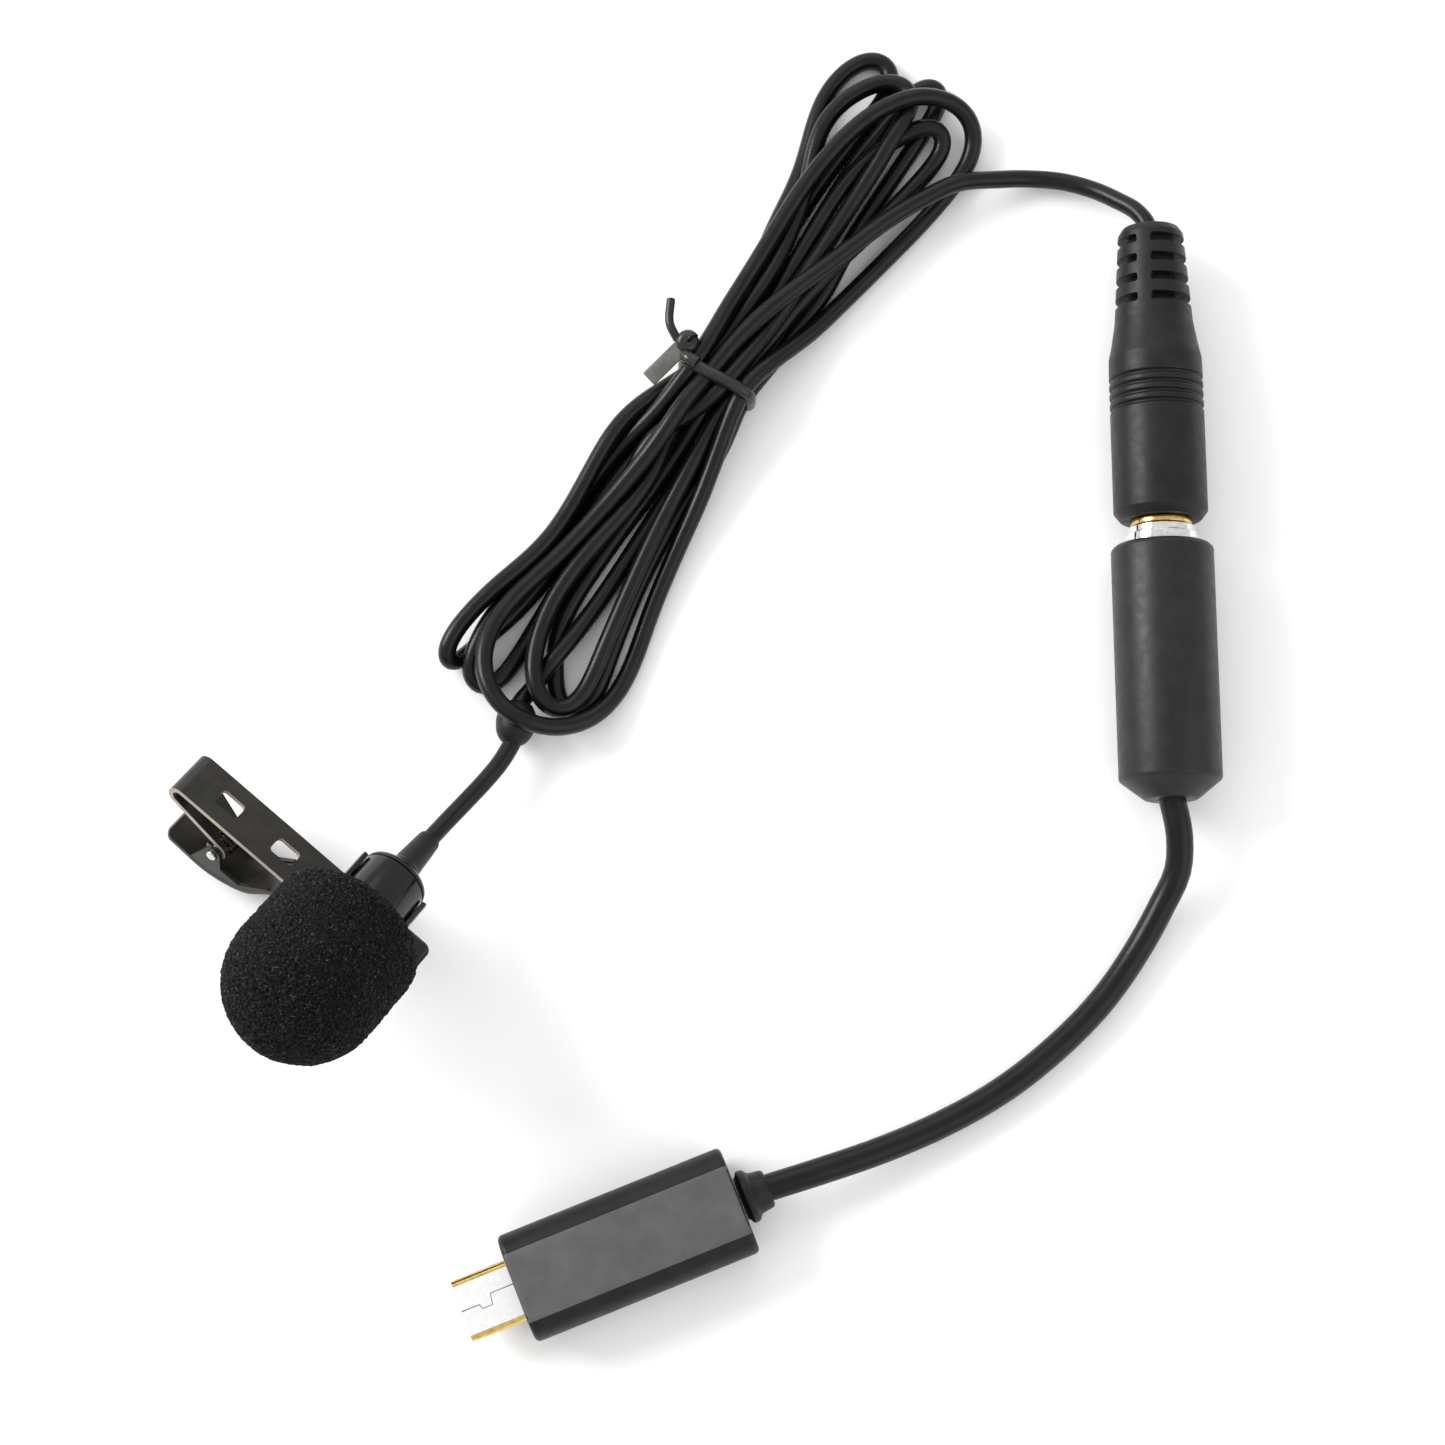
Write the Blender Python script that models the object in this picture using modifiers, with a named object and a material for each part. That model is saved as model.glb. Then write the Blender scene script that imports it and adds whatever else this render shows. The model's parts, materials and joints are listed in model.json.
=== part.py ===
"""Clip-on lavalier microphone with its bundled cable, 3.5 mm plug and mini-USB adapter lead.

Every number is in millimetres unless its name says degrees; the helpers turn it into metres.
Origin: on the surface the microphone rests on, under the middle of its head. +Z is up, and the
adapter's socket lies along Y.
"""

from math import asin, atan2, cos, degrees, pi, radians, sin

import bmesh
import bpy
from mathutils import Euler, Matrix, Vector

MM = 0.001

# ---- Driving dimensions -------------------------------------------------------------------

# The microphone head: local Z of its frame stands off the clip's strip, local Y runs along the
# microphone to its cable, and local X runs along the strip to its tip.
HEAD_CENTRE = (8.9, 1.03, 11.6)
HEAD_TILT_DEG = -29.8
HEAD_ROLL_DEG = 8.8
HEAD_TURN_DEG = -40.3

BARREL_RADIUS = 3.8
BARREL_BORE = 3.3
BARREL_FRONT = -13.0
BARREL_REAR = 2.9
CAPSULE_RADIUS = 3.0
GRILLE_HOLE_RADIUS = 0.4
GRILLE_HOLE_RING = 1.7
RELIEF_END = 10.0

FOAM_RADIUS = 8.6
FOAM_BORE = 3.88
FOAM_REAR = -3.1
FOAM_SHOULDER = 3.2
FOAM_TIP = -21.8

RING_BORE = 3.9
RING_OUTER = 4.45
RING_BACK = -2.65
RING_FRONT = 2.9
RING_ARM_DEG = 105.0
RING_FOOT_SIZE = (9.2, 4.4, 0.5)
RING_FOOT_CENTRE = (3.0, 0.1, -4.65)

STRIP_WIDTH = 5.6
STRIP_THICKNESS = 0.6
STRIP_TOP = -5.0
STRIP_TIP = 8.0
STRIP_FOLD = -24.5
STRIP_FOLD_RADIUS = 1.0
SLOT_SIZE = (3.0, 2.0)
SLOT_CENTRES = (-18.6, -10.8)
RIVET_X = 5.5
RIVET_RADIUS = 0.55
RIVET_CLEARANCE = 0.05

PIVOT = (-16.7, -11.2)
PIN_RADIUS = 0.6
PIN_HALF_LENGTH = 2.95
KNUCKLE_HALF_WIDTH = 1.95
EAR_INNER = 2.15
EAR_THICKNESS = 0.5
EAR_KNUCKLE = 1.0
JAW_THICKNESS = 0.5
SPRING_WIRE = 0.2
SPRING_RADIUS = 1.32
SPRING_TURNS = 4
SPRING_PITCH = 0.45
SPRING_WINDOW_SIZE = (3.4, 2.5, 3.6)
NOTCH_COUNT = 3
NOTCH_PITCH = 0.9
NOTCH_WIDTH = 0.35

# Cables
MIC_CABLE_RADIUS = 1.0
ADAPTER_CABLE_RADIUS = 1.5
JUNCTION_RADIUS = 2.25

LEAD_ROUTE = (
    (14.1, 8.35, 6.55),
    (15.5, 10.15, 5.5),
    (17.5, 12.5, 4.6),
    (20.0, 15.45, 3.8),
    (21.3, 17.2, 3.45),
    (22.2, 18.8, 3.15),
)
JUNCTION_START = (22.4, 19.2, 3.05)
JUNCTION_END = (23.2, 23.8, 2.45)
TAIL_ROUTE = (
    (74.6, 83.7, 3.2),
    (77.3, 84.5, 2.3),
    (80.8, 84.8, 1.6),
    (84.2, 84.5, 1.6),
    (87.5, 83.3, 2.4),
    (90.2, 81.5, 3.8),
    (92.4, 79.5, 5.2),
    (93.3, 77.9, 5.7),
)
ADAPTER_ROUTE = (
    (94.4, 12.1, 5.7),
    (95.3, 8.7, 5.1),
    (95.2, 5.1, 3.8),
    (93.6, 1.5, 2.5),
    (90.8, -3.5, 1.7),
    (86.9, -8.9, 1.6),
    (81.7, -14.1, 1.6),
    (75.7, -18.7, 1.7),
    (69.2, -22.3, 2.0),
    (62.6, -25.1, 2.7),
    (56.2, -27.3, 3.6),
    (50.95, -28.95, 4.0),
)

# The bundle of cable turns, as one outline with round ends and a waist under the tie.
HANK_BOTTOM = 0.8
HANK_TOP = 6.2
HANK_OUTLINE = (
    (14.8, 29.5),
    (16.2, 26.3),
    (19.4, 25.6),
    (23.0, 26.2),
    (26.2, 24.6),
    (27.0, 21.0),
    (30.2, 19.9),
    (35.2, 24.7),
    (38.6, 36.1),
    (42.4, 49.1),
    (48.2, 58.7),
    (59.2, 72.5),
    (70.8, 80.7),
    (73.8, 88.1),
    (70.2, 96.7),
    (62.6, 100.9),
    (57.2, 96.1),
    (53.4, 85.1),
    (48.2, 72.3),
    (42.5, 62.8),
    (31.8, 50.3),
    (19.8, 36.5),
)
TIE_CENTRE = (45.4, 60.75)
TIE_TURN_DEG = 54.0
TIE_HALF_SPAN = 4.1
TIE_WIDTH = 1.3
TIE_THICKNESS = 0.4
TIE_ENDS = (
    (40.1, 69.1, 5.4),
    (40.8, 66.7, 6.0),
    (41.8, 65.3, 6.6),
    (42.4, 64.7, 7.3),
    (41.4, 63.5, 7.5),
    (39.8, 61.7, 6.9),
    (37.8, 59.7, 6.2),
)

# Plug and socket: local Z of their frame runs from the plug into the socket.
PLUG_FACE = (94.05, 43.8, 5.75)
PLUG_LEAN_DEG = 0.7
PLUG_LENGTH = 33.5
PLUG_RADIUS = 5.2
PLUG_GROOVES = (-12.5, -13.6, -14.7, -15.8)
BOOT_RADIUS = 3.65
BOOT_SLOT_PAIRS = 4
BOOT_SLOT_START = -24.7
BOOT_SLOT_PITCH = 2.3
BOOT_SLOT_SIZE = (5.2, 9.4, 1.0)
BOOT_SPINE_HALF_WIDTH = 0.75
BOOT_SPINE_TURN_DEG = 21.0
PLUG_PIN_RADIUS = 1.75
SOCKET_RADIUS = 5.65
SOCKET_FRONT = 2.8
SOCKET_REAR = 29.0
SOCKET_CONE = 31.2
SOCKET_CONE_RADIUS = 2.9
SOCKET_BORE = 4.3
SOCKET_BORE_END = 25.0

# USB plug: local X of its frame runs from the metal shell to the cable.
USB_CENTRE = (35.6, -35.1, 4.0)
USB_TURN_DEG = 21.8
USB_SIZE = (25.5, 11.9, 8.0)
USB_SIDE_RADIUS = 2.9
USB_SHELL_SIZE = (6.8, 3.0)
USB_SHELL_WALL = 0.3
USB_SHELL_PROUD = 6.3
USB_SHELL_HELD = 6.0
USB_CAVITY_SIZE = (20.0, 7.6, 3.8)
USB_TONGUE_SIZE = (9.0, 4.2, 0.9)
USB_CONTACTS = 5
USB_CONTACT_PITCH = 0.8
USB_CONTACT_SIZE = (8.0, 0.36, 0.16)
USB_BOARD_SIZE = (11.0, 6.6, 1.0)

ROUND_STEPS = 32
FINE_STEPS = 16


# ---- Helpers ------------------------------------------------------------------------------


def clear_scene():
    for obj in list(bpy.data.objects):
        bpy.data.objects.remove(obj)


def collection(name):
    made = bpy.data.collections.new(name)
    bpy.context.scene.collection.children.link(made)
    return made


def material(name, colour, roughness, metallic=0.0):
    made = bpy.data.materials.new(name)
    made.use_nodes = True
    shader = made.node_tree.nodes["Principled BSDF"]
    shader.inputs["Base Color"].default_value = (*colour, 1.0)
    shader.inputs["Roughness"].default_value = roughness
    shader.inputs["Metallic"].default_value = metallic
    return made


def frame_at(name, place, turn=(0, 0, 0), parent=None):
    """An empty that carries a group of parts; turn is in degrees."""
    empty = bpy.data.objects.new(name, None)
    PART.objects.link(empty)
    empty.parent = parent
    empty.location = Vector(place) * MM
    empty.rotation_euler = Euler([radians(a) for a in turn])
    return empty


def add_part(name, data, look, parent=None, place=(0, 0, 0), turn=(0, 0, 0)):
    obj = bpy.data.objects.new(name, data)
    PART.objects.link(obj)
    obj.data.materials.append(look)
    obj.parent = parent
    obj.location = Vector(place) * MM
    obj.rotation_euler = Euler([radians(a) for a in turn])
    return obj


def smooth(obj, sharp_degrees=35):
    obj.data.shade_smooth()
    obj.data.set_sharp_from_angle(angle=radians(sharp_degrees))


def turned(name, profile, look, parent, closed=False, steps=ROUND_STEPS, **where):
    """A turned part about local Z: profile is (radius, z) from the top of its outer side down."""
    mesh = bpy.data.meshes.new(name)
    shape = bmesh.new()
    points = [shape.verts.new((r * MM, 0, z * MM)) for r, z in profile]
    for a, b in zip(points, points[1:]):
        shape.edges.new((a, b))
    if closed:
        shape.edges.new((points[-1], points[0]))
    shape.to_mesh(mesh)
    shape.free()
    obj = add_part(name, mesh, look, parent, **where)
    screw = obj.modifiers.new("turn", "SCREW")
    screw.axis = "Z"
    screw.steps = steps
    screw.render_steps = steps
    screw.use_merge_vertices = True
    screw.merge_threshold = 0.00001
    screw.use_smooth_shade = True
    return obj


def pipe_profile(outer, inner, top, bottom):
    """The closed profile of a plain tube, for turned(..., closed=True)."""
    return ((outer, top), (outer, bottom), (inner, bottom), (inner, top))


def slab(name, outlines, thickness, look, parent=None, **where):
    """A flat plate along local Z; any outline after the first is a hole in it."""
    curve = bpy.data.curves.new(name, "CURVE")
    curve.dimensions = "2D"
    curve.fill_mode = "BOTH"
    curve.extrude = thickness * MM / 2
    for outline in outlines:
        spline = curve.splines.new("POLY")
        spline.points.add(len(outline) - 1)
        for point, (x, y) in zip(spline.points, outline):
            point.co = (x * MM, y * MM, 0, 1)
        spline.use_cyclic_u = True
    return add_part(name, curve, look, parent, **where)


def as_mesh(obj):
    """The same part as a mesh with welded caps, ready for a Boolean."""
    bpy.context.view_layer.update()
    graph = bpy.context.evaluated_depsgraph_get()
    mesh = bpy.data.meshes.new_from_object(obj.evaluated_get(graph))
    shape = bmesh.new()
    shape.from_mesh(mesh)
    bmesh.ops.remove_doubles(shape, verts=shape.verts, dist=0.000001)
    bmesh.ops.recalc_face_normals(shape, faces=shape.faces)
    shape.to_mesh(mesh)
    shape.free()
    name, owners, parent = obj.name, list(obj.users_collection), obj.parent
    place = obj.matrix_world.copy()
    bpy.data.objects.remove(obj)
    solid = bpy.data.objects.new(name, mesh)
    for owner in owners:
        owner.objects.link(solid)
    solid.parent = parent
    solid.matrix_world = place
    return solid


def tube(name, route, radius, look, parent=None, sides=2):
    """A cable or wire with closed ends along the points of route."""
    curve = bpy.data.curves.new(name, "CURVE")
    curve.dimensions = "3D"
    curve.bevel_depth = radius * MM
    curve.bevel_resolution = sides
    curve.use_fill_caps = True
    spline = curve.splines.new("POLY")
    spline.points.add(len(route) - 1)
    for point, place in zip(spline.points, route):
        point.co = (*(Vector(place) * MM), 1)
    return add_part(name, curve, look, parent)


def smooth_route(points, spacing):
    """Points about spacing apart on one smooth curve through the given ones."""
    points = [Vector(p) for p in points]
    padded = [2 * points[0] - points[1], *points, 2 * points[-1] - points[-2]]
    made = []
    for before, start, end, after in zip(padded, padded[1:], padded[2:], padded[3:]):
        steps = max(1, round((end - start).length / spacing))
        for step in range(steps):
            t = step / steps
            made.append(
                0.5
                * (
                    2 * start
                    + (end - before) * t
                    + (2 * before - 5 * start + 4 * end - after) * t**2
                    + (3 * start - 3 * end + after - before) * t**3
                )
            )
    return [*made, points[-1]]


def arc(centre, radius, start_deg, end_deg, steps):
    angles = [radians(start_deg + (end_deg - start_deg) * i / steps) for i in range(steps + 1)]
    return [(centre[0] + radius * cos(a), centre[1] + radius * sin(a)) for a in angles]


def bent_sheet(name, path, thickness, look, parent):
    """A strip of sheet metal: path is (x, z, half width) along its mid-plane, in local X and Z."""
    mesh = bpy.data.meshes.new(name)
    shape = bmesh.new()
    rows = [
        [shape.verts.new((x * MM, side * half * MM, z * MM)) for side in (-1, 1)]
        for x, z, half in path
    ]
    for (a, b), (c, d) in zip(rows, rows[1:]):
        shape.faces.new((a, c, d, b))
    shape.to_mesh(mesh)
    shape.free()
    obj = add_part(name, mesh, look, parent)
    solid = obj.modifiers.new("sheet", "SOLIDIFY")
    solid.thickness = thickness * MM
    solid.offset = 0
    solid.use_even_offset = True
    return obj


def block(name, size, look, parent=None, **where):
    mesh = bpy.data.meshes.new(name)
    shape = bmesh.new()
    bmesh.ops.create_cube(shape, size=1, matrix=Matrix.Diagonal((*(Vector(size) * MM), 1)))
    shape.to_mesh(mesh)
    shape.free()
    return add_part(name, mesh, look, parent, **where)


def rod_cutter(name, radius, length, parent, steps=FINE_STEPS, **where):
    mesh = bpy.data.meshes.new(name)
    shape = bmesh.new()
    bmesh.ops.create_cone(
        shape,
        cap_ends=True,
        segments=steps,
        radius1=radius * MM,
        radius2=radius * MM,
        depth=length * MM,
    )
    shape.to_mesh(mesh)
    shape.free()
    return as_cutter(add_part(name, mesh, RUBBER, parent, **where))


def as_cutter(obj):
    PART.objects.unlink(obj)
    CUTTERS.objects.link(obj)
    obj.hide_render = True
    obj.display_type = "WIRE"
    return obj


def combine(obj, other, operation):
    made = obj.modifiers.new(other.name, "BOOLEAN")
    made.operation = operation
    made.object = other


def cut(obj, *cutters):
    for cutter in cutters:
        combine(obj, cutter, "DIFFERENCE")


# ---- Microphone capsule and its housing ---------------------------------------------------


def build_capsule(axis):
    """The parts on the microphone's own axis: local Z of axis points to the cable."""
    tube_profile = pipe_profile(BARREL_RADIUS, BARREL_BORE, BARREL_REAR, BARREL_FRONT)
    turned("capsule_housing", tube_profile, GLOSS_BLACK, axis, closed=True)

    grille_top = BARREL_FRONT + 0.5
    disc = ((0, grille_top), (3.25, grille_top), (3.25, BARREL_FRONT + 0.1), (0, BARREL_FRONT + 0.1))
    grille = turned("capsule_grille", disc, STEEL, axis)
    for index in range(6):
        angle = index * pi / 3
        spot = (GRILLE_HOLE_RING * cos(angle), GRILLE_HOLE_RING * sin(angle), grille_top)
        hole = rod_cutter(f"grille_hole_{index}", GRILLE_HOLE_RADIUS, 3, axis, steps=8, place=spot)
        cut(grille, hole)

    turned("acoustic_felt", ((0, -11.8), (3.2, -11.8), (3.2, -12.4), (0, -12.4)), FELT, axis)
    can = (
        (0, -8.8),
        (CAPSULE_RADIUS - 0.1, -8.8),
        (CAPSULE_RADIUS, -8.9),
        (CAPSULE_RADIUS, -11.4),
        (CAPSULE_RADIUS - 0.2, -11.6),
        (0.8, -11.6),
        (0.8, -11.2),
        (0, -11.2),
    )
    turned("electret_capsule", can, STEEL, axis, steps=24)
    turned("capsule_gasket", pipe_profile(3.25, 3.06, -9.2, -11.2), RUBBER, axis, closed=True)
    turned("capsule_board", ((0, -7.9), (2.9, -7.9), (2.9, -8.5), (0, -8.5)), BOARD, axis, steps=20)
    for index, side in enumerate((-1, 1)):
        route = smooth_route(
            ((0.9 * side, 0, -7.6), (1.3 * side, 0.5, -4.5), (0.9 * side, 0.3, -1.5), (0.5 * side, 0, 0.4)),
            1.2,
        )
        tube(f"capsule_wire_{index + 1}", route, 0.2, (COPPER_RED, RUBBER)[index], axis, sides=1)

    cap = (
        (0, 4.55),
        (2.3, 4.55),
        (3.0, 4.1),
        (3.65, 3.6),
        (BARREL_RADIUS, 3.3),
        (BARREL_RADIUS, 3.05),
        (3.2, 3.05),
        (3.2, 0.8),
        (0, 0.8),
    )
    turned("rear_cap", cap, SATIN_BLACK, axis)
    relief = ((0, RELIEF_END), (1.2, RELIEF_END), (1.35, 9.8), (1.7, 4.8), (0, 4.8))
    turned("strain_relief", relief, RUBBER, axis, steps=20)


def build_windscreen(axis):
    shoulder = arc((FOAM_RADIUS - FOAM_SHOULDER, FOAM_REAR - FOAM_SHOULDER), FOAM_SHOULDER, 90, 0, 4)
    dome_centre = FOAM_TIP + FOAM_RADIUS
    dome = arc((0, dome_centre), FOAM_RADIUS, 0, -90, 9)
    bore_end = BARREL_FRONT - 0.3
    bore = ((0, bore_end), (FOAM_BORE, bore_end), (FOAM_BORE, FOAM_REAR))
    profile = [*shoulder, *dome[:-1], (0, FOAM_TIP)]
    turned("foam_windscreen", [*bore, *profile], FOAM, axis)


# ---- Tie clip -----------------------------------------------------------------------------


def build_holder(head):
    """The open ring that grips the barrel, with its foot on the strip."""
    steps = 20
    start, end = -90 - RING_ARM_DEG, -90 + RING_ARM_DEG
    outer = arc((0, 0), RING_OUTER, start, end, steps)
    inner = arc((0, 0), RING_BORE, end, start, steps)
    length = RING_FRONT - RING_BACK
    middle = (RING_FRONT + RING_BACK) / 2
    ring = as_mesh(
        slab("holder_ring", [outer + inner], length, SATIN_BLACK, head, place=(0, middle, 0), turn=(90, 0, 0))
    )
    foot = block("holder_foot", RING_FOOT_SIZE, SATIN_BLACK, head, place=RING_FOOT_CENTRE)
    combine(ring, as_cutter(foot), "UNION")
    hole_place = (RIVET_X, 0, RING_FOOT_CENTRE[2])
    hole = rod_cutter("holder_rivet_hole", RIVET_RADIUS + RIVET_CLEARANCE, 3, head, place=hole_place)
    cut(ring, hole)
    head_profile = (
        (0, -3.75),
        (0.6, -3.85),
        (1.0, -4.15),
        (1.0, -4.36),
        (RIVET_RADIUS, -4.36),
        (RIVET_RADIUS, -5.64),
        (0.9, -5.64),
        (0.8, -5.9),
        (0, -5.95),
    )
    turned("holder_rivet", head_profile, STEEL, head, steps=FINE_STEPS, place=(RIVET_X, 0, 0))


def strip_path():
    """Mid-plane of the strip: tip, top run, fold, leaf and the knuckle curled round the pin."""
    half = STRIP_WIDTH / 2
    mid = STRIP_TOP - STRIP_THICKNESS / 2
    fold_x = STRIP_FOLD + STRIP_THICKNESS / 2 + STRIP_FOLD_RADIUS
    fold_z = mid - STRIP_FOLD_RADIUS
    knuckle = PIN_RADIUS + 0.06 + STRIP_THICKNESS / 2
    to_pin = Vector(PIVOT) - Vector((fold_x, fold_z))
    # The leaf is the straight tangent from the outside of the fold to the top of the knuckle.
    slant = asin((knuckle + STRIP_FOLD_RADIUS) / to_pin.length)
    turn = degrees(atan2(to_pin.y, to_pin.x) + slant)
    fold = arc((fold_x, fold_z), STRIP_FOLD_RADIUS, 90, 270 + turn, 7)
    curl = arc(PIVOT, knuckle, 90 + turn, -190, 9)
    tip = [(STRIP_TIP, mid, half - 0.9), (STRIP_TIP - 0.3, mid, half - 0.35), (STRIP_TIP - 0.9, mid, half)]
    rows = tip + [(x, z, half) for x, z in fold]
    return rows + [(x, z, KNUCKLE_HALF_WIDTH) for x, z in curl]


def build_strip(head):
    strip = bent_sheet("clip_strip", strip_path(), STRIP_THICKNESS, PAINTED, head)
    mid = STRIP_TOP - STRIP_THICKNESS / 2
    for index, x in enumerate(SLOT_CENTRES):
        slot = block(f"strip_slot_{index}", (*SLOT_SIZE, 1.4), PAINTED, head, place=(x, 0, mid))
        cut(strip, as_cutter(slot))
    rivet_hole = RIVET_RADIUS + RIVET_CLEARANCE
    cut(strip, rod_cutter("strip_rivet_hole", rivet_hole, 1.4, head, place=(RIVET_X, 0, mid)))
    window_place = (PIVOT[0] + 0.1, 0, PIVOT[1])
    window = block("spring_window", SPRING_WINDOW_SIZE, PAINTED, head, place=window_place)
    cut(strip, as_cutter(window))


def build_pin_and_spring(head):
    pin = (
        (0, PIN_HALF_LENGTH),
        (PIN_RADIUS - 0.1, PIN_HALF_LENGTH),
        (PIN_RADIUS, PIN_HALF_LENGTH - 0.1),
        (PIN_RADIUS, 0.1 - PIN_HALF_LENGTH),
        (PIN_RADIUS - 0.1, -PIN_HALF_LENGTH),
        (0, -PIN_HALF_LENGTH),
    )
    where = {"place": (PIVOT[0], 0, PIVOT[1]), "turn": (90, 0, 0)}
    turned("pivot_pin", pin, STEEL, head, steps=FINE_STEPS, **where)

    half = SPRING_TURNS * SPRING_PITCH / 2
    # The coil starts and ends on the finger side; one leg lies by the leaf, one by the tab.
    start, sweep = radians(100), -2 * pi * SPRING_TURNS + radians(150)
    count = 12 * SPRING_TURNS
    coil = []
    for step in range(count + 1):
        angle = start + sweep * step / count
        along = -half + 2 * half * step / count
        coil.append((PIVOT[0] + SPRING_RADIUS * cos(angle), along, PIVOT[1] + SPRING_RADIUS * sin(angle)))
    first = (PIVOT[0] - 4.0, -half, PIVOT[1] + 1.25)
    last = (PIVOT[0] - 2.6, half, PIVOT[1] - 1.7)
    tube("jaw_spring", [first, *coil, last], SPRING_WIRE, STEEL, head, sides=1)


def build_jaw(pivot):
    """The lower jaw, in the frame whose origin is the pivot, so it is placed from the pin."""
    outer = EAR_INNER + EAR_THICKNESS
    path = (
        (-22.2, -14.3, outer - 0.9),
        (-21.9, -14.35, outer - 0.2),
        (-21.3, -14.5, outer),
        (-15.8, -14.55, outer),
        (-11.9, -12.9, outer),
        (-8.8, -8.9, outer),
        (-7.6, -7.8, outer),
        (-6.4, -7.4, outer),
        (3.2, -6.65, outer - 0.1),
        (4.2, -6.3, outer - 0.3),
    )
    local = [(x - PIVOT[0], z - PIVOT[1], half) for x, z, half in path]
    jaw = bent_sheet("clip_jaw", local, JAW_THICKNESS, PAINTED, pivot)
    knuckle = arc(PIVOT, EAR_KNUCKLE, 165, 20, 6)
    top = [(-15.0, -12.6), (-12.4, -12.6), (-9.6, -9.2)]
    ear = [(-18.6, -14.5), *knuckle, *top, (-9.2, -9.5), (-11.9, -12.9), (-15.8, -14.6)]
    outline = [(x - PIVOT[0], z - PIVOT[1]) for x, z in ear]
    for name, side in (("ear_near", -1), ("ear_far", 1)):
        middle = side * (EAR_INNER + EAR_THICKNESS / 2)
        plate = slab(name, [outline], EAR_THICKNESS, PAINTED, pivot, place=(0, middle, 0), turn=(90, 0, 0))
        combine(jaw, as_cutter(as_mesh(plate)), "UNION")
    bore = rod_cutter("jaw_bore", PIN_RADIUS + 0.05, 8, pivot, turn=(90, 0, 0))
    cut(jaw, bore)
    for index in range(NOTCH_COUNT):
        where = (2.0 + NOTCH_PITCH * index - PIVOT[0], 0, -6.35 + 0.12 * index - PIVOT[1])
        size = (NOTCH_WIDTH, 8, NOTCH_WIDTH)
        notch = block(f"jaw_notch_{index}", size, PAINTED, pivot, place=where, turn=(0, 45, 0))
        cut(jaw, as_cutter(notch))


# ---- Cable and its bundle -----------------------------------------------------------------


def build_mic_cable():
    spacing = 5 * MIC_CABLE_RADIUS
    tube("mic_cable_lead", smooth_route(LEAD_ROUTE, spacing / 2), MIC_CABLE_RADIUS, CABLE)
    run = Vector(JUNCTION_END) - Vector(JUNCTION_START)
    sleeve = (
        (0, run.length),
        (JUNCTION_RADIUS - 0.7, run.length),
        (JUNCTION_RADIUS - 0.1, 3.6),
        (JUNCTION_RADIUS, 2.6),
        (JUNCTION_RADIUS - 0.25, 1.2),
        (1.5, 0.4),
        (0.8, 0),
        (0, 0),
    )
    junction = turned("cable_junction", sleeve, RUBBER, None, steps=20, place=JUNCTION_START)
    junction.rotation_euler = run.to_track_quat("Z", "Y").to_euler()
    tube("mic_cable_tail", smooth_route(TAIL_ROUTE, spacing), MIC_CABLE_RADIUS, CABLE)


def build_hank():
    mid_height = (HANK_TOP + HANK_BOTTOM) / 2
    closed = [*HANK_OUTLINE, HANK_OUTLINE[0]]
    outline = [(p.x, p.y) for p in smooth_route([(x, y, 0) for x, y in closed], 3.5)[:-1]]
    slab("mic_cable_hank", [outline], HANK_TOP - HANK_BOTTOM, CABLE, place=(0, 0, mid_height))


def build_twist_tie():
    """A flat band round the waist of the bundle, and its two free ends by the knot."""
    low, high = HANK_BOTTOM - 0.2, HANK_TOP + 0.25
    half_height = (high - low) / 2
    corner = 1.2
    outlines = []
    for grow in (TIE_THICKNESS, 0):
        across, up = TIE_HALF_SPAN + grow, half_height + grow
        corners = ((1, 1, 0), (-1, 1, 90), (-1, -1, 180), (1, -1, 270))
        radius = corner + grow
        outline = []
        for sx, sy, start in corners:
            centre = (sx * (across - radius), sy * (up - radius))
            outline += arc(centre, radius, start, start + 90, 3)
        outlines.append(outline)
    centre = (*TIE_CENTRE, (high + low) / 2)
    turn = (90, 0, TIE_TURN_DEG - 90)
    slab("twist_tie_band", outlines, TIE_WIDTH, TIE, place=centre, turn=turn)
    tube("twist_tie_ends", smooth_route(TIE_ENDS, 1.4), 0.55, TIE, sides=1)


# ---- 3.5 mm plug --------------------------------------------------------------------------


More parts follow.
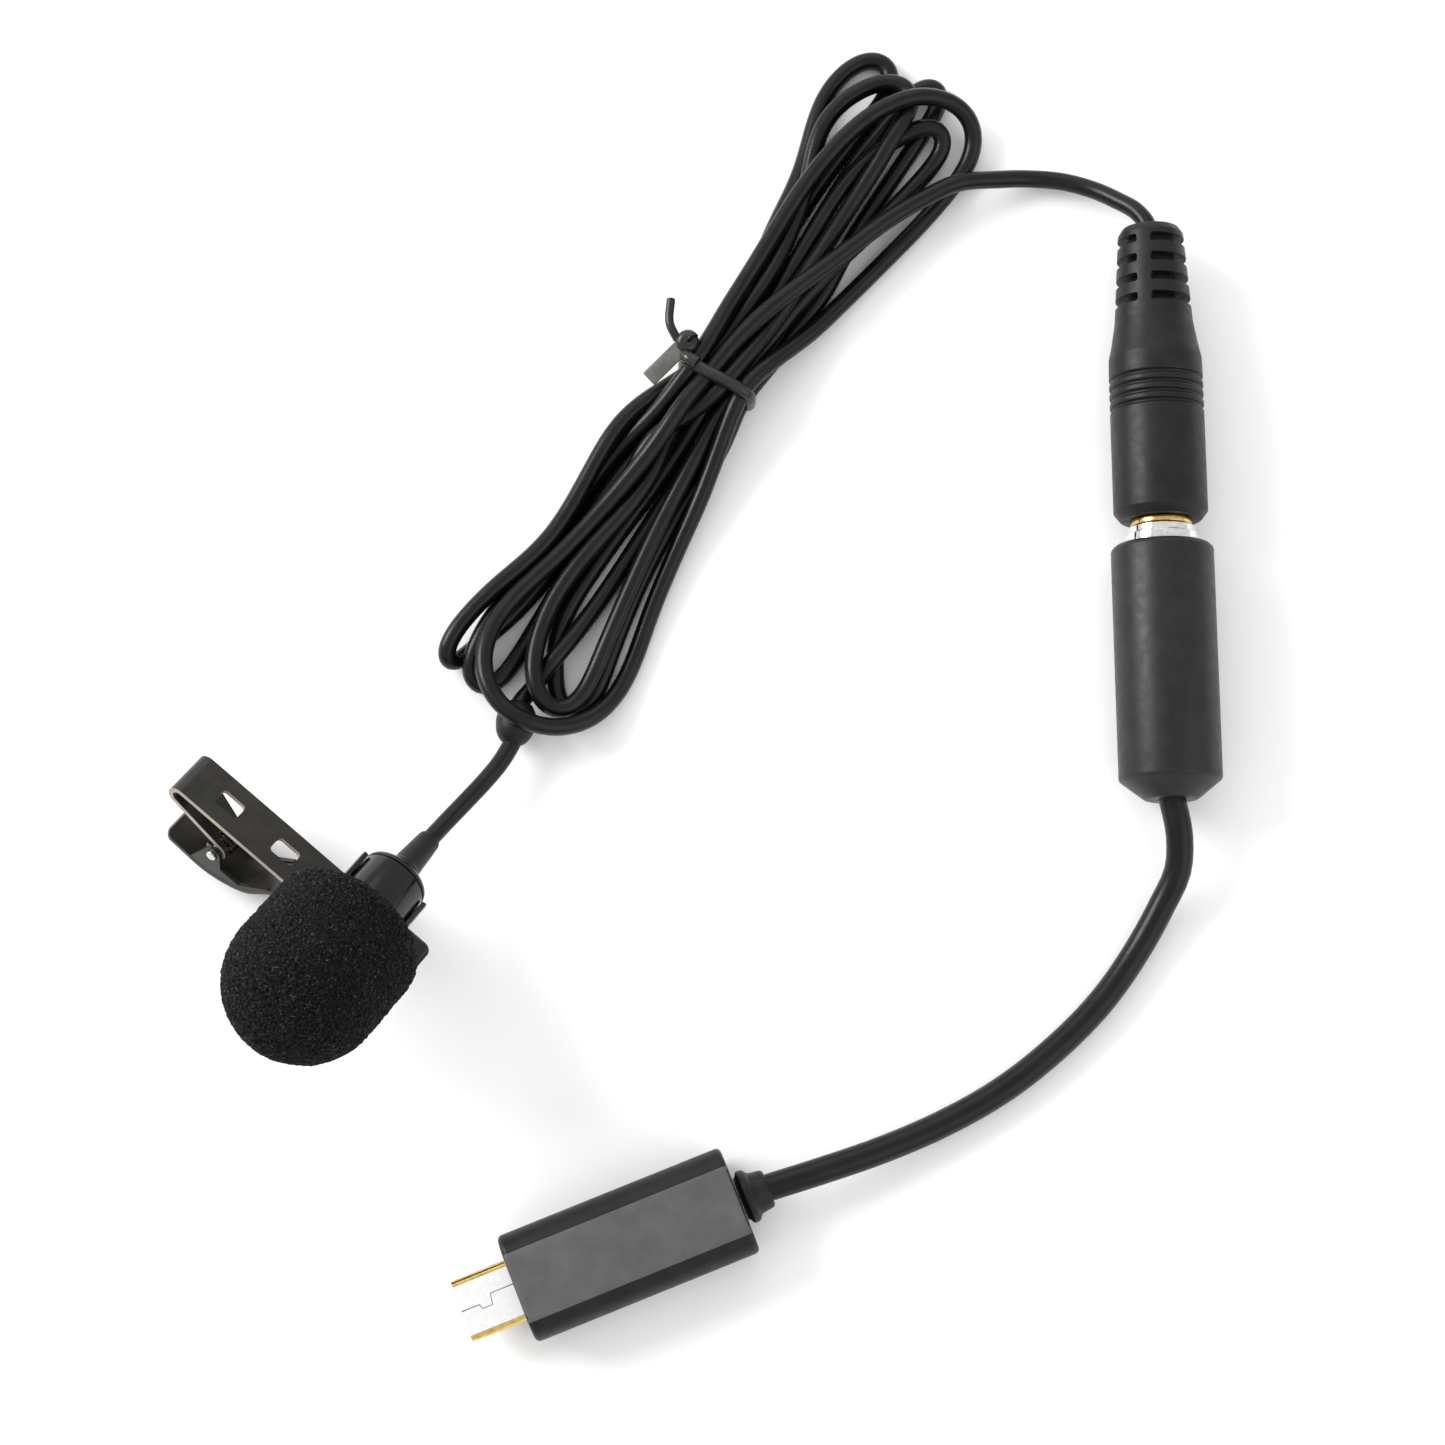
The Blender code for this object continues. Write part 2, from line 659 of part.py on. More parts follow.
def build_plug(axis):
    """The moulded plug: local Z of axis points into the socket, from its face at 0."""
    grooves = []
    for start in PLUG_GROOVES:
        grooves += [
            (PLUG_RADIUS, start + 0.25),
            (PLUG_RADIUS - 0.3, start + 0.1),
            (PLUG_RADIUS - 0.3, start - 0.1),
            (PLUG_RADIUS, start - 0.25),
        ]
    profile = (
        (0, 0),
        (PLUG_RADIUS - 0.7, 0),
        (PLUG_RADIUS, -0.9),
        *grooves,
        (PLUG_RADIUS - 0.05, -18.6),
        (PLUG_RADIUS - 0.5, -20.2),
        (4.3, -22.6),
        (4.25, -24.0),
        (BOOT_RADIUS, 0.8 - PLUG_LENGTH),
        (BOOT_RADIUS - 0.5, -PLUG_LENGTH),
        (0, -PLUG_LENGTH),
    )
    body = turned("plug_boot", profile, RUBBER, axis, steps=24)
    # Four pairs of bending slots, left joined along a spine at top and bottom.
    spine = frame_at("boot_spine", (0, 0, 0), (0, 0, BOOT_SPINE_TURN_DEG), axis)
    for index in range(BOOT_SLOT_PAIRS):
        for side in (-1, 1):
            across = side * (BOOT_SPINE_HALF_WIDTH + BOOT_SLOT_SIZE[0] / 2)
            where = (across, 0, BOOT_SLOT_START - BOOT_SLOT_PITCH * index)
            slot = block(f"plug_slot_{index}_{side}", BOOT_SLOT_SIZE, RUBBER, spine, place=where)
            cut(body, as_cutter(slot))

    flange = (
        (0, 6.6),
        (PLUG_PIN_RADIUS - 0.05, 6.6),
        (PLUG_PIN_RADIUS, 6.5),
        (PLUG_PIN_RADIUS, 0.8),
        (3.3, 0.8),
        (3.4, 0.7),
        (3.4, 0.1),
        (0, 0.1),
    )
    turned("plug_sleeve", flange, GOLD, axis, steps=24)
    turned("plug_insulator_1", ((0, 7.3), (1.7, 7.3), (1.7, 6.7), (0, 6.7)), RUBBER, axis, steps=24)
    ring = ((0, 9.8), (PLUG_PIN_RADIUS, 9.8), (PLUG_PIN_RADIUS, 7.4), (0, 7.4))
    turned("plug_ring", ring, GOLD, axis, steps=24)
    turned("plug_insulator_2", ((0, 10.5), (1.7, 10.5), (1.7, 9.9), (0, 9.9)), RUBBER, axis, steps=24)
    tip = (
        (0, 14.8),
        (0.4, 14.7),
        (1.6, 13.3),
        (1.65, 13.0),
        (1.3, 12.2),
        (PLUG_PIN_RADIUS, 11.3),
        (PLUG_PIN_RADIUS, 10.6),
        (0, 10.6),
    )
    turned("plug_tip", tip, GOLD, axis, steps=24)


# ---- Adapter: in-line socket, cable and USB plug ------------------------------------------


def build_socket(axis):
    housing = (
        (0, SOCKET_CONE),
        (SOCKET_CONE_RADIUS, SOCKET_CONE),
        (SOCKET_RADIUS, SOCKET_REAR),
        (SOCKET_RADIUS, SOCKET_FRONT + 0.6),
        (SOCKET_RADIUS - 0.5, SOCKET_FRONT + 0.1),
        (SOCKET_BORE, SOCKET_FRONT + 0.1),
        (SOCKET_BORE, SOCKET_BORE_END),
        (0, SOCKET_BORE_END),
    )
    turned("socket_housing", housing, RUBBER, axis)
    bushing = (
        (3.7, 5.6),
        (3.7, SOCKET_FRONT),
        (4.1, SOCKET_FRONT),
        (4.1, 1.8),
        (3.8, 1.7),
        (3.8, 1.0),
        (3.6, 0.9),
        (1.9, 0.9),
        (1.9, 5.6),
    )
    turned("socket_bushing", bushing, CHROME, axis, closed=True)
    core = (
        (0, 20.0),
        (4.15, 20.0),
        (4.15, 5.8),
        (2.95, 5.8),
        (2.95, 18.6),
        (0, 18.6),
    )
    turned("socket_insulator", core, GREY_PLASTIC, axis, steps=24)
    contacts = (("sleeve", 0, 7.4), ("ring", 120, 9.6), ("tip", 240, 13.0))
    for name, angle, reach in contacts:
        build_socket_contact(f"socket_contact_{name}", axis, angle, reach)


def build_socket_contact(name, axis, angle, reach):
    """A leaf spring along the socket's bore that bows in to touch the plug at reach."""
    spoke = frame_at(f"{name}_place", (0, 0, 0), (0, 0, angle), axis)
    path = (
        (2.75, 18.2, 0.55),
        (2.7, reach + 2.2, 0.55),
        (1.98, reach, 0.5),
        (2.45, reach - 1.2, 0.45),
    )
    bent_sheet(name, path, 0.2, GOLD, spoke)


def shell_outline(inset):
    """The mini-USB shell's section: full width above, stepped in below."""
    half, height = USB_SHELL_SIZE[0] / 2 - inset, USB_SHELL_SIZE[1] / 2 - inset
    step = half - 0.75
    right = [(step, -height), (step + 0.1, -0.5 + inset / 2), (half, -0.1 + inset / 2), (half, height - 0.3)]
    right.append((half - 0.3, height))
    left = [(-x, y) for x, y in reversed(right)]
    return right + left


def build_usb(usb):
    rear = USB_SIZE[0] / 2
    front = -rear
    body = usb_overmold(usb)
    cavity_place = (front - 0.1 + USB_CAVITY_SIZE[0] / 2, 0, 0)
    cavity = block("usb_cavity", USB_CAVITY_SIZE, RUBBER, usb, place=cavity_place)
    cut(body, as_cutter(cavity))

    shell_length = USB_SHELL_PROUD + USB_SHELL_HELD
    slab(
        "usb_shell",
        [shell_outline(0), shell_outline(USB_SHELL_WALL)],
        shell_length,
        CHROME,
        usb,
        place=(front - USB_SHELL_PROUD + shell_length / 2, 0, 0),
        turn=(90, 0, 90),
    )
    tongue_x, tongue_z = front - 0.8, -0.4
    block("usb_insulator", USB_TONGUE_SIZE, SATIN_BLACK, usb, place=(tongue_x, 0, tongue_z))
    contact_z = tongue_z + USB_TONGUE_SIZE[2] / 2 + 0.12
    for index in range(USB_CONTACTS):
        across = (index - (USB_CONTACTS - 1) / 2) * USB_CONTACT_PITCH
        where = (tongue_x, across, contact_z)
        block(f"usb_contact_{index + 1}", USB_CONTACT_SIZE, GOLD, usb, place=where)
    block("usb_board", USB_BOARD_SIZE, BOARD, usb, place=(front + 12.4, 0, -0.2))

    collar = (
        (0, 3.35),
        (1.9, 3.35),
        (2.1, 3.1),
        (2.3, 1.6),
        (2.9, 1.2),
        (2.9, 0.7),
        (2.35, 0.3),
        (2.35, 0.1),
        (0, 0.1),
    )
    turned("usb_collar", collar, RUBBER, usb, steps=12, place=(rear, 0, 0), turn=(0, 90, 0))


def usb_overmold(usb):
    """The moulded grip: a bar with well rounded long edges and softly broken ends."""
    body = block("usb_overmold", USB_SIZE, RUBBER, usb)
    shape = bmesh.new()
    shape.from_mesh(body.data)
    along = [e for e in shape.edges if abs((e.verts[0].co - e.verts[1].co).normalized().x) > 0.9]
    bmesh.ops.bevel(
        shape, geom=along, offset=USB_SIDE_RADIUS * MM, segments=5, profile=0.5, affect="EDGES"
    )
    shape.to_mesh(body.data)
    shape.free()
    bevel = body.modifiers.new("ends", "BEVEL")
    bevel.width = 0.6 * MM
    bevel.segments = 2
    bevel.limit_method = "ANGLE"
    bevel.angle_limit = radians(50)
    smooth(body)
    return body


def build_adapter_cable():
    route = smooth_route(ADAPTER_ROUTE, 5.0)
    tube("adapter_cable", route, ADAPTER_CABLE_RADIUS, CABLE, sides=3)


# ---- Assembly -----------------------------------------------------------------------------

clear_scene()
PART = collection("lavalier_microphone")
CUTTERS = collection("cutters")

RUBBER = material("black_rubber", (0.03, 0.031, 0.033), 0.55)
CABLE = material("cable_jacket", (0.02, 0.021, 0.022), 0.4)
FOAM = material("open_cell_foam", (0.01, 0.01, 0.01), 0.95)
FELT = material("felt", (0.05, 0.05, 0.05), 0.95)
GLOSS_BLACK = material("gloss_black", (0.01, 0.01, 0.011), 0.12)
SATIN_BLACK = material("satin_black", (0.015, 0.015, 0.016), 0.3)
PAINTED = material("painted_steel", (0.035, 0.032, 0.028), 0.35)
GREY_PLASTIC = material("grey_plastic", (0.1, 0.1, 0.1), 0.5)
STEEL = material("bright_steel", (0.6, 0.6, 0.6), 0.25, 1.0)
CHROME = material("bright_plate", (0.8, 0.79, 0.77), 0.12, 1.0)
GOLD = material("gold_plate", (0.75, 0.55, 0.2), 0.2, 1.0)
COPPER_RED = material("red_wire", (0.35, 0.03, 0.02), 0.5)
BOARD = material("circuit_board", (0.01, 0.1, 0.05), 0.5)
TIE = material("tie_plastic", (0.045, 0.036, 0.03), 0.4)


def main():
    head = frame_at("head_frame", HEAD_CENTRE, (HEAD_TILT_DEG, HEAD_ROLL_DEG, HEAD_TURN_DEG))
    mic_axis = frame_at("mic_axis", (0, 0, 0), (-90, 0, 0), head)
    jaw_pivot = frame_at("jaw_pivot", (PIVOT[0], 0, PIVOT[1]), parent=head)
    plug_axis = frame_at("plug_axis", PLUG_FACE, (90, 0, PLUG_LEAN_DEG))
    usb = frame_at("usb_frame", USB_CENTRE, (0, 0, USB_TURN_DEG))

    build_capsule(mic_axis)
    build_windscreen(mic_axis)
    build_holder(head)
    build_strip(head)
    build_pin_and_spring(head)
    build_jaw(jaw_pivot)
    build_mic_cable()
    build_hank()
    build_twist_tie()
    build_plug(plug_axis)
    build_socket(plug_axis)
    build_adapter_cable()
    build_usb(usb)


main()
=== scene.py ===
"""Looks of a clip-on lavalier microphone with its bundled cable, plug and USB adapter lead."""

import json
from math import asin, atan2, cos, degrees, pi, radians, sin

import bmesh
import bpy
import numpy as np
from mathutils import Matrix, Vector, noise


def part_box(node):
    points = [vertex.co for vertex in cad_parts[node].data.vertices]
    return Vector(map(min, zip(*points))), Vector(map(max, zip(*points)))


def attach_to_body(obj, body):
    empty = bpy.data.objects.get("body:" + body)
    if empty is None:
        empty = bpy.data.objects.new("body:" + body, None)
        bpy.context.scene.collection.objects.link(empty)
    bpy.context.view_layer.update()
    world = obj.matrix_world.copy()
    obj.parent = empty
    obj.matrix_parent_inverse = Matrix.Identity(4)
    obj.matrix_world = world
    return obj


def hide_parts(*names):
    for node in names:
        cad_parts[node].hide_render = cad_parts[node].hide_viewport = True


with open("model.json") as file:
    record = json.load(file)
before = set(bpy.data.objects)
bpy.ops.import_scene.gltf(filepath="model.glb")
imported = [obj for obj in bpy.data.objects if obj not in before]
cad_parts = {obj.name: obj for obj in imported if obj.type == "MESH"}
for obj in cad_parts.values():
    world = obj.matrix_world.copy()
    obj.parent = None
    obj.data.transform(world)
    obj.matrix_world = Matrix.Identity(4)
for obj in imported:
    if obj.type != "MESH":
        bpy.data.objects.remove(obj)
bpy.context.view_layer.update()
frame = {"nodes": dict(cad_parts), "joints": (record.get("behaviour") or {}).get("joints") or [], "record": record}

MM = 0.001

# The CAD model's own parts inside the socket and inside the USB plug.
SOCKET_INSIDE = ["socket_insulator", *(f"socket_contact_{name}" for name in ("sleeve", "ring", "tip"))]
USB_INSIDE = ["usb_insulator", "usb_board", *(f"usb_contact_{index}" for index in range(1, 6))]

# ---- Frames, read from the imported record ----

JOINTS = {joint["name"]: joint for joint in frame["joints"]}
MOUNTS = {mount["name"]: mount for mount in frame["record"]["mounts"]}


def frame_matrix(origin, x, y, z):
    turn = Matrix((x, y, z)).transposed().to_4x4()
    turn.translation = origin
    return turn


def middle(node):
    low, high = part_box(node)
    return (low + high) / 2


def head_matrix():
    """X along the clip's strip to its tip, Y along the microphone to its cable, Z off the strip."""
    y = Vector(JOINTS["clip_swivel"]["axis"]).normalized()
    z = Vector(MOUNTS["clip_strip_top"]["axis"]).normalized()
    return frame_matrix(Vector(JOINTS["clip_swivel"]["pos_m"]), y.cross(z), y, z)


def plug_matrix():
    """Z from the plug into the socket, Y up; the origin is the middle of the plug's end face."""
    z = Vector(JOINTS["adapter_unplug"]["axis"]).normalized()
    x = Vector((0, 0, 1)).cross(z).normalized()
    return frame_matrix(middle("plug_ring") - z * PLUG_RING_MIDDLE * MM, x, z.cross(x), z)


def usb_matrix():
    """X along the USB plug from its shell to its cable."""
    x = middle("usb_overmold") - middle("usb_shell")
    x.z = 0
    x.normalize()
    z = Vector((0, 0, 1))
    base = Vector(MOUNTS["usb_grip_base"]["pos_m"])
    return frame_matrix(base + z * USB_SIZE[2] * MM / 2, x, z.cross(x), z)


# ---- Dimensions in millimetres, as in the CAD model ----

BARREL_RADIUS = 3.8
BARREL_BORE = 3.3
BARREL_FRONT = -13.0
BARREL_REAR = 2.9
RELIEF_END = 10.0
FOAM_RADIUS = 8.6
FOAM_BORE = 3.88
FOAM_REAR = -3.1
FOAM_SHOULDER = 3.2
FOAM_TIP = -21.8
RING_BORE = 3.9
RING_OUTER = 4.45
RING_BACK = -2.65
RING_FRONT = 2.9
RING_ARM_DEG = 105.0
RING_FOOT_SIZE = (9.2, 4.4, 0.5)
RING_FOOT_CENTRE = (3.0, 0.1, -4.65)
STRIP_WIDTH = 5.6
STRIP_THICKNESS = 0.6
STRIP_TOP = -5.0
STRIP_TIP = 8.0
STRIP_FOLD = -24.5
STRIP_FOLD_RADIUS = 1.0
SLOT_SIZE = (3.0, 2.0)
SLOT_CENTRES = (-18.6, -10.8)
RIVET_X = 5.5
RIVET_RADIUS = 0.55
PIVOT = (-16.7, -11.2)
PIN_RADIUS = 0.6
PIN_HALF_LENGTH = 2.95
KNUCKLE_HALF_WIDTH = 1.95
EAR_INNER = 2.15
EAR_THICKNESS = 0.5
EAR_KNUCKLE = 1.0
JAW_THICKNESS = 0.5
NOTCH_COUNT = 3
NOTCH_PITCH = 0.9
NOTCH_WIDTH = 0.35
SPRING_WIRE = 0.2
SPRING_RADIUS = 1.32
SPRING_TURNS = 4
SPRING_PITCH = 0.45
SPRING_WINDOW_SIZE = (3.4, 2.5, 3.6)
MIC_CABLE_RADIUS = 1.0
ADAPTER_CABLE_RADIUS = 1.5
JUNCTION_RADIUS = 2.25
PLUG_LENGTH = 33.5
PLUG_RADIUS = 5.2
PLUG_GROOVES = (-12.5, -13.6, -14.7, -15.8)
BOOT_FRONT = -24.0
BOOT_RADIUS = 3.65
BOOT_SPINE_TURN_DEG = 21.0
PLUG_PIN_RADIUS = 1.75
PLUG_RING_MIDDLE = 8.6
SOCKET_RADIUS = 5.65
SOCKET_FRONT = 2.8
SOCKET_REAR = 29.0
SOCKET_CONE = 31.2
SOCKET_CONE_RADIUS = 2.9
SOCKET_BORE = 4.3
SOCKET_BORE_END = 25.0
USB_SIZE = (25.5, 11.9, 8.0)
USB_SIDE_RADIUS = 2.9
USB_SHELL_SIZE = (6.8, 3.0)
USB_SHELL_WALL = 0.3
USB_SHELL_PROUD = 6.3
USB_SHELL_HELD = 6.0

# ---- Finer details, in millimetres ----

WELD = 0.0005
PIN_CLEARANCE = 0.06
PIN_CHAMFER = 0.1
SHEET_CORNER = 1.0
SLOT_CORNER = 0.45
SLOT_DEPTH = 1.4
FOAM_WELD = 0.02
FOAM_MESH = 0.3
FOAM_STEPS = 260
FOAM_CELL = 0.46
FOAM_PORE_DEPTH = -0.30
FOAM_CELL_RISE = 0.22
FOAM_SWELL = 0.06
FOAM_SWELL_SIZE = 2.6
FOAM_SINK = 0.04
SPRING_UPPER_LEG = (-4.0, 1.25)
SPRING_LOWER_LEG = (-2.6, -1.7)
JAW_TAB_END = -21.2
JAW_BENDS = ((-15.8, -14.55), (-11.9, -12.9), (-8.8, -8.9), (-6.9, -7.5), (3.2, -6.65), (4.2, -6.3))
EAR_HEEL = (-18.6, -14.5)
NOTCH_START = (2.0, -6.35)
NOTCH_RISE = 0.12
EAR_EDGE = ((-15.0, -12.6), (-12.4, -12.6), (-9.6, -9.2), (-9.2, -9.5), (-11.9, -12.9), (-15.8, -14.6))
GROOVE_SECTION = ((0, 0.28), (0.3, 0.14), (0.3, -0.14), (0, -0.28))
BOOT_SLOT_PAIRS = 4
BOOT_SLOT_PITCH = 2.3
BOOT_SLOT_START = -24.7
BOOT_SLOT_OFFSET = 3.35
BOOT_SLOT_SIZE = (5.2, 9.4, 1.0)
BOOT_SLOT_CORNER = 0.25
BOOT_CORE_RADIUS = 2.5
PIN_GAP_RADIUS = 1.7
USB_CAVITY_SIZE = (20.0, 7.6, 3.8)
USB_CAVITY_MIDDLE = 9.9
USB_SHELL_CORNER = 0.7
USB_SHELL_STEP = 0.75
USB_SEAM = ((0.1, 0), (2.1, 0), (2.3, -0.5), (3.4, -0.5), (3.6, 0.7), (6.2, 0.7))
USB_SEAM_RADIUS = 0.05
TIE_BAND_RADIUS = 0.75
TIE_BAND_CORNER = 1.8
TIE_KNOT_RADIUS = 0.78
TIE_KNOT_TURNS = 1.6
TIE_KNOT_REACH = (0.6, 0.55)
TIE_KNOT_RISE = 1.1
TIE_END_RADIUS = 0.5
TIE_FLAT_SIZE = (1.9, 0.4)

# ---- Camera, floor and light, in millimetres ----

CAMERA_TARGET = (45.6, 22.15, 0)
CAMERA_DISTANCE = 350
CAMERA_LIFT_DEG = 80
CAMERA_LENS = 78.5
CAMERA_SENSOR = 36
FLOOR_HALF_SIZE = 2500
FLOOR_PLACE = (40, 30, -0.05)
# Each light's name, its place from the camera's target and its size in metres, and its watts.
LIGHTS = (
    ("key", (-0.70, 0.30, 0.45), 0.5, 7.5),
    ("fill", (0.60, -0.30, 0.50), 0.8, 1.5),
    ("back", (-0.10, 0.75, 0.55), 0.8, 1.5),
)
SKY_STRENGTH = 0.85

# ---- The cords' routes, in millimetres ----

LEAD_ROUTE = (
    (14.1, 8.35, 6.55), (15.5, 10.15, 5.5), (17.5, 12.5, 4.6), (20.0, 15.45, 3.8),
    (21.3, 17.2, 3.45), (22.2, 18.8, 3.15),
)
JUNCTION_START = (22.4, 19.2, 3.05)
JUNCTION_END = (23.2, 23.8, 2.45)
TAIL_ROUTE = (
    (77.3, 84.5, 2.3), (80.8, 84.8, 1.6), (84.2, 84.5, 1.6), (87.5, 83.3, 2.4), (90.2, 81.5, 3.8),
    (92.4, 79.5, 5.2), (93.3, 77.9, 5.7),
)
ADAPTER_ROUTE = (
    (94.4, 12.1, 5.7), (95.3, 8.7, 5.1), (95.2, 5.1, 3.8), (93.6, 1.5, 2.5), (90.8, -3.5, 1.7),
    (86.9, -8.9, 1.6), (81.7, -14.1, 1.6), (75.7, -18.7, 1.7), (69.2, -22.3, 2.0),
    (62.6, -25.1, 2.7), (56.2, -27.3, 3.6), (50.95, -28.95, 4.0),
)

# The bundle's own frame: u along it towards its far end, v across it to the right, z up.
TIE_CENTRE = (45.4, 60.75)
BUNDLE_DEG = 58.5
TIE_HALF_SPAN = 4.1
TIE_LOW, TIE_HIGH = 0.6, 6.45

# The bundle's loops in the order of winding, an upper one and a lower one by turns. Each has its
# left shoulder, tip and right shoulder as (u, v), then where its runs turn between the tie and
# the shoulders, as (u, left v, right v), then the height of its left shoulder, tip and right one.
LOOPS = (
    ((41, 0.5), (44, 2.5), (41.5, 4), ((11, 0.5, 3.5),), (2.4, 1.8, 1.1)),
    ((34, -2), (42, 4), (36, 6), ((11, -0.5, 2.5),), (1.1, 1.1, 1.1)),
    ((31, 0.5), (39, 5), (34.5, 7), ((11, 1, 2.5),), (3.4, 3.2, 2.6)),
    ((34, -2), (42.5, 4), (36, 6), ((11, -0.5, 2.5),), (3.2, 3.2, 3.2)),
    ((37, -7.5), (43, -4), (38.5, -1), ((11, -2.5, -3), (25, -4.5, -2.5)), (2.2, 2.0, 1.1)),
    ((42, -9.5), (44, -8.5), (42, -7.5), ((11, -5.5, -4), (26, -6, -4.5)), (4.6, 3.2, 1.4)),
    ((33, -6), (41, -1), (36, 2), ((11, -2, 1.5), (24, -4, 1.5)), (4.4, 3.6, 3.6)),
    ((41.5, -7), (44.5, -5), (41.5, -3), ((11, -4, -2), (27, -5, -3)), (1.3, 1.1, 1.1)),
    ((31, -2.5), (41.5, 5.5), (34.5, 10.5), ((11, -3, 5.5),), (6.2, 5.0, 2.2)),
    ((37, -7), (45, 1), (36, 8.5), ((11, -2, 4), (25, -4.5, 6.5)), (5.0, 5.8, 2.0)),
)
# The run's (v, z) where it passes the tie: up out of the junction, then before and after each loop.
LANES = (
    (1, 1.65), (3, 1.65), (0, 3.35), (2, 3.35), (-1, 1.65), (-3, 1.65), (-2, 3.35), (1, 5.05),
    (-3, 5.05), (3, 5.05), (-1, 5.05),
)
BUNDLE_START = ((-40.5, 0.6, 1.7), (-35, 1.2, 1.1), (-14, 1.8, 1.4))
BUNDLE_END = ((5, -0.3, 5.6), (12, 2, 6.3), (20, 4.7, 6.0), (27, 7.2, 5.2), (32, 10, 4.2))
# The twist tie, in the same frame.
TIE_KNOT_START = ((-0.8, -2.6, 6.9), (-0.7, -3.8, 6.7))
TIE_KNOT_CENTRE = (0.9, -4.9, 5.6)
TIE_END_ROUTE = ((0.6, -6.0, 6.2), (1.6, -7.6, 6.4), (4.2, -9.1, 6.2))
TIE_FLAT_ENDS = ((0.9, -4.9, 6.6), (-4.8, -6.5, 5.4))


# ---- Helpers ----

# Turns a piece's own Z across the head, to lie along its Y.
ACROSS = Matrix.Rotation(pi / 2, 4, "X")


def at(x, y, z):
    """A move by these millimetres."""
    return Matrix.Translation((x * MM, y * MM, z * MM))


def spun(outline, steps, weld, closed=False):
    """The surface that an outline of (radius, z) sweeps once round local Z."""
    shape = bmesh.new()
    verts = [shape.verts.new((r, 0, z)) for r, z in outline]
    edges = [shape.edges.new(pair) for pair in zip(verts, verts[1:])]
    if closed:
        edges.append(shape.edges.new((verts[-1], verts[0])))
    bmesh.ops.spin(
        shape,
        geom=[*verts, *edges],
        cent=(0, 0, 0),
        axis=(0, 0, 1),
        angle=2 * pi,
        steps=steps,
        use_merge=True,
    )
    bmesh.ops.remove_doubles(shape, verts=shape.verts, dist=weld)
    return shape


def applied(obj):
    """The object with its modifiers made part of its mesh."""
    graph = bpy.context.evaluated_depsgraph_get()
    made = bpy.data.meshes.new_from_object(obj.evaluated_get(graph))
    obj.modifiers.clear()
    obj.data = made
    return obj


def second_look(obj, look, chosen):
    """Gives another material to the faces whose normal is chosen."""
    obj.data.materials.append(look)
    for face in obj.data.polygons:
        if chosen(face.normal):
            face.material_index = 1


def link(name, data, look=None):
    obj = bpy.data.objects.new(name, data)
    bpy.context.scene.collection.objects.link(obj)
    if look:
        obj.data.materials.append(look)
    return obj


def soften(obj, sharp_degrees=40):
    obj.data.shade_smooth()
    obj.data.set_sharp_from_angle(angle=radians(sharp_degrees))
    return obj


def placed(name, shape, look, place):
    """A bmesh in millimetres becomes an object in place."""
    mesh = bpy.data.meshes.new(name)
    shape.to_mesh(mesh)
    shape.free()
    mesh.transform(place @ Matrix.Scale(MM, 4))
    return link(name, mesh, look)


def finish_shape(name, shape, look, place):
    bmesh.ops.recalc_face_normals(shape, faces=shape.faces)
    return soften(placed(name, shape, look, place))


def rounded(profile, radius, steps=3):
    """The outline with each inner corner rounded, as far as its neighbours leave room."""
    share = 0.45
    made = [Vector(profile[0])]
    for before, corner, after in zip(profile, profile[1:], profile[2:]):
        a, b, c = Vector(before), Vector(corner), Vector(after)
        reach = min(radius, (a - b).length * share, (c - b).length * share)
        start, end = b + (a - b).normalized() * reach, b + (c - b).normalized() * reach
        for step in range(steps + 1):
            t = step / steps
            made.append(start * (1 - t) ** 2 + b * 2 * t * (1 - t) + end * t**2)
    made.append(Vector(profile[-1]))
    return made


def turned(name, profile, look, place, closed=False, soft=0.08, steps=96):
    """A turned piece about local Z. profile is (radius, z), closed on itself or on the axis."""
    points = list(profile)
    if closed:
        mid = ((points[0][0] + points[-1][0]) / 2, (points[0][1] + points[-1][1]) / 2)
        points = [mid, *points, mid]
    outline = rounded(points, soft)
    if closed:
        outline = outline[:-1]
    return finish_shape(name, spun(outline, steps, WELD, closed), look, place)


def rod(radius, top, bottom):
    """The profile of a plain turned rod."""
    return ((0, top), (radius, top), (radius, bottom), (0, bottom))


def block(name, size, look, place, bevel=0.0):
    shape = bmesh.new()
    bmesh.ops.create_cube(shape, size=1, matrix=Matrix.Diagonal((*size, 1)))
    if bevel:
        edges = shape.edges[:]
        bmesh.ops.bevel(shape, geom=edges, offset=bevel, segments=3, profile=0.5, affect="EDGES")
    return finish_shape(name, shape, look, place)


def prism(name, outline, depth, look, place):
    """A flat outline in local X and Y made depth thick along local Z, about its middle."""
    shape = bmesh.new()
    base = shape.faces.new([shape.verts.new((x, y, -depth / 2)) for x, y in outline])
    grown = bmesh.ops.extrude_face_region(shape, geom=[base])
    top = [v for v in grown["geom"] if isinstance(v, bmesh.types.BMVert)]
    bmesh.ops.translate(shape, vec=(0, 0, depth), verts=top)
    return finish_shape(name, shape, look, place)


def cut(obj, *cutters, operation="DIFFERENCE"):
    """Cuts the cutters out of obj, or joins them to it, and applies the result."""
    for cutter in cutters:
        modifier = obj.modifiers.new(cutter.name, "BOOLEAN")
        modifier.operation = operation
        modifier.object = cutter
    applied(obj)
    for cutter in cutters:
        bpy.data.objects.remove(cutter)
    return soften(obj)


def break_edges(obj, width, segments=2, degrees_from=35):
    """A narrow bevel on every edge that turns by more than degrees_from."""
    bevel = obj.modifiers.new("broken_edges", "BEVEL")
    bevel.width = width * MM
    bevel.segments = segments
    bevel.limit_method = "ANGLE"
    bevel.angle_limit = radians(degrees_from)


def arc(centre, radius, start_deg, end_deg, steps):
    angles = [radians(start_deg + (end_deg - start_deg) * i / steps) for i in range(steps + 1)]
    return [(centre[0] + radius * cos(a), centre[1] + radius * sin(a)) for a in angles]


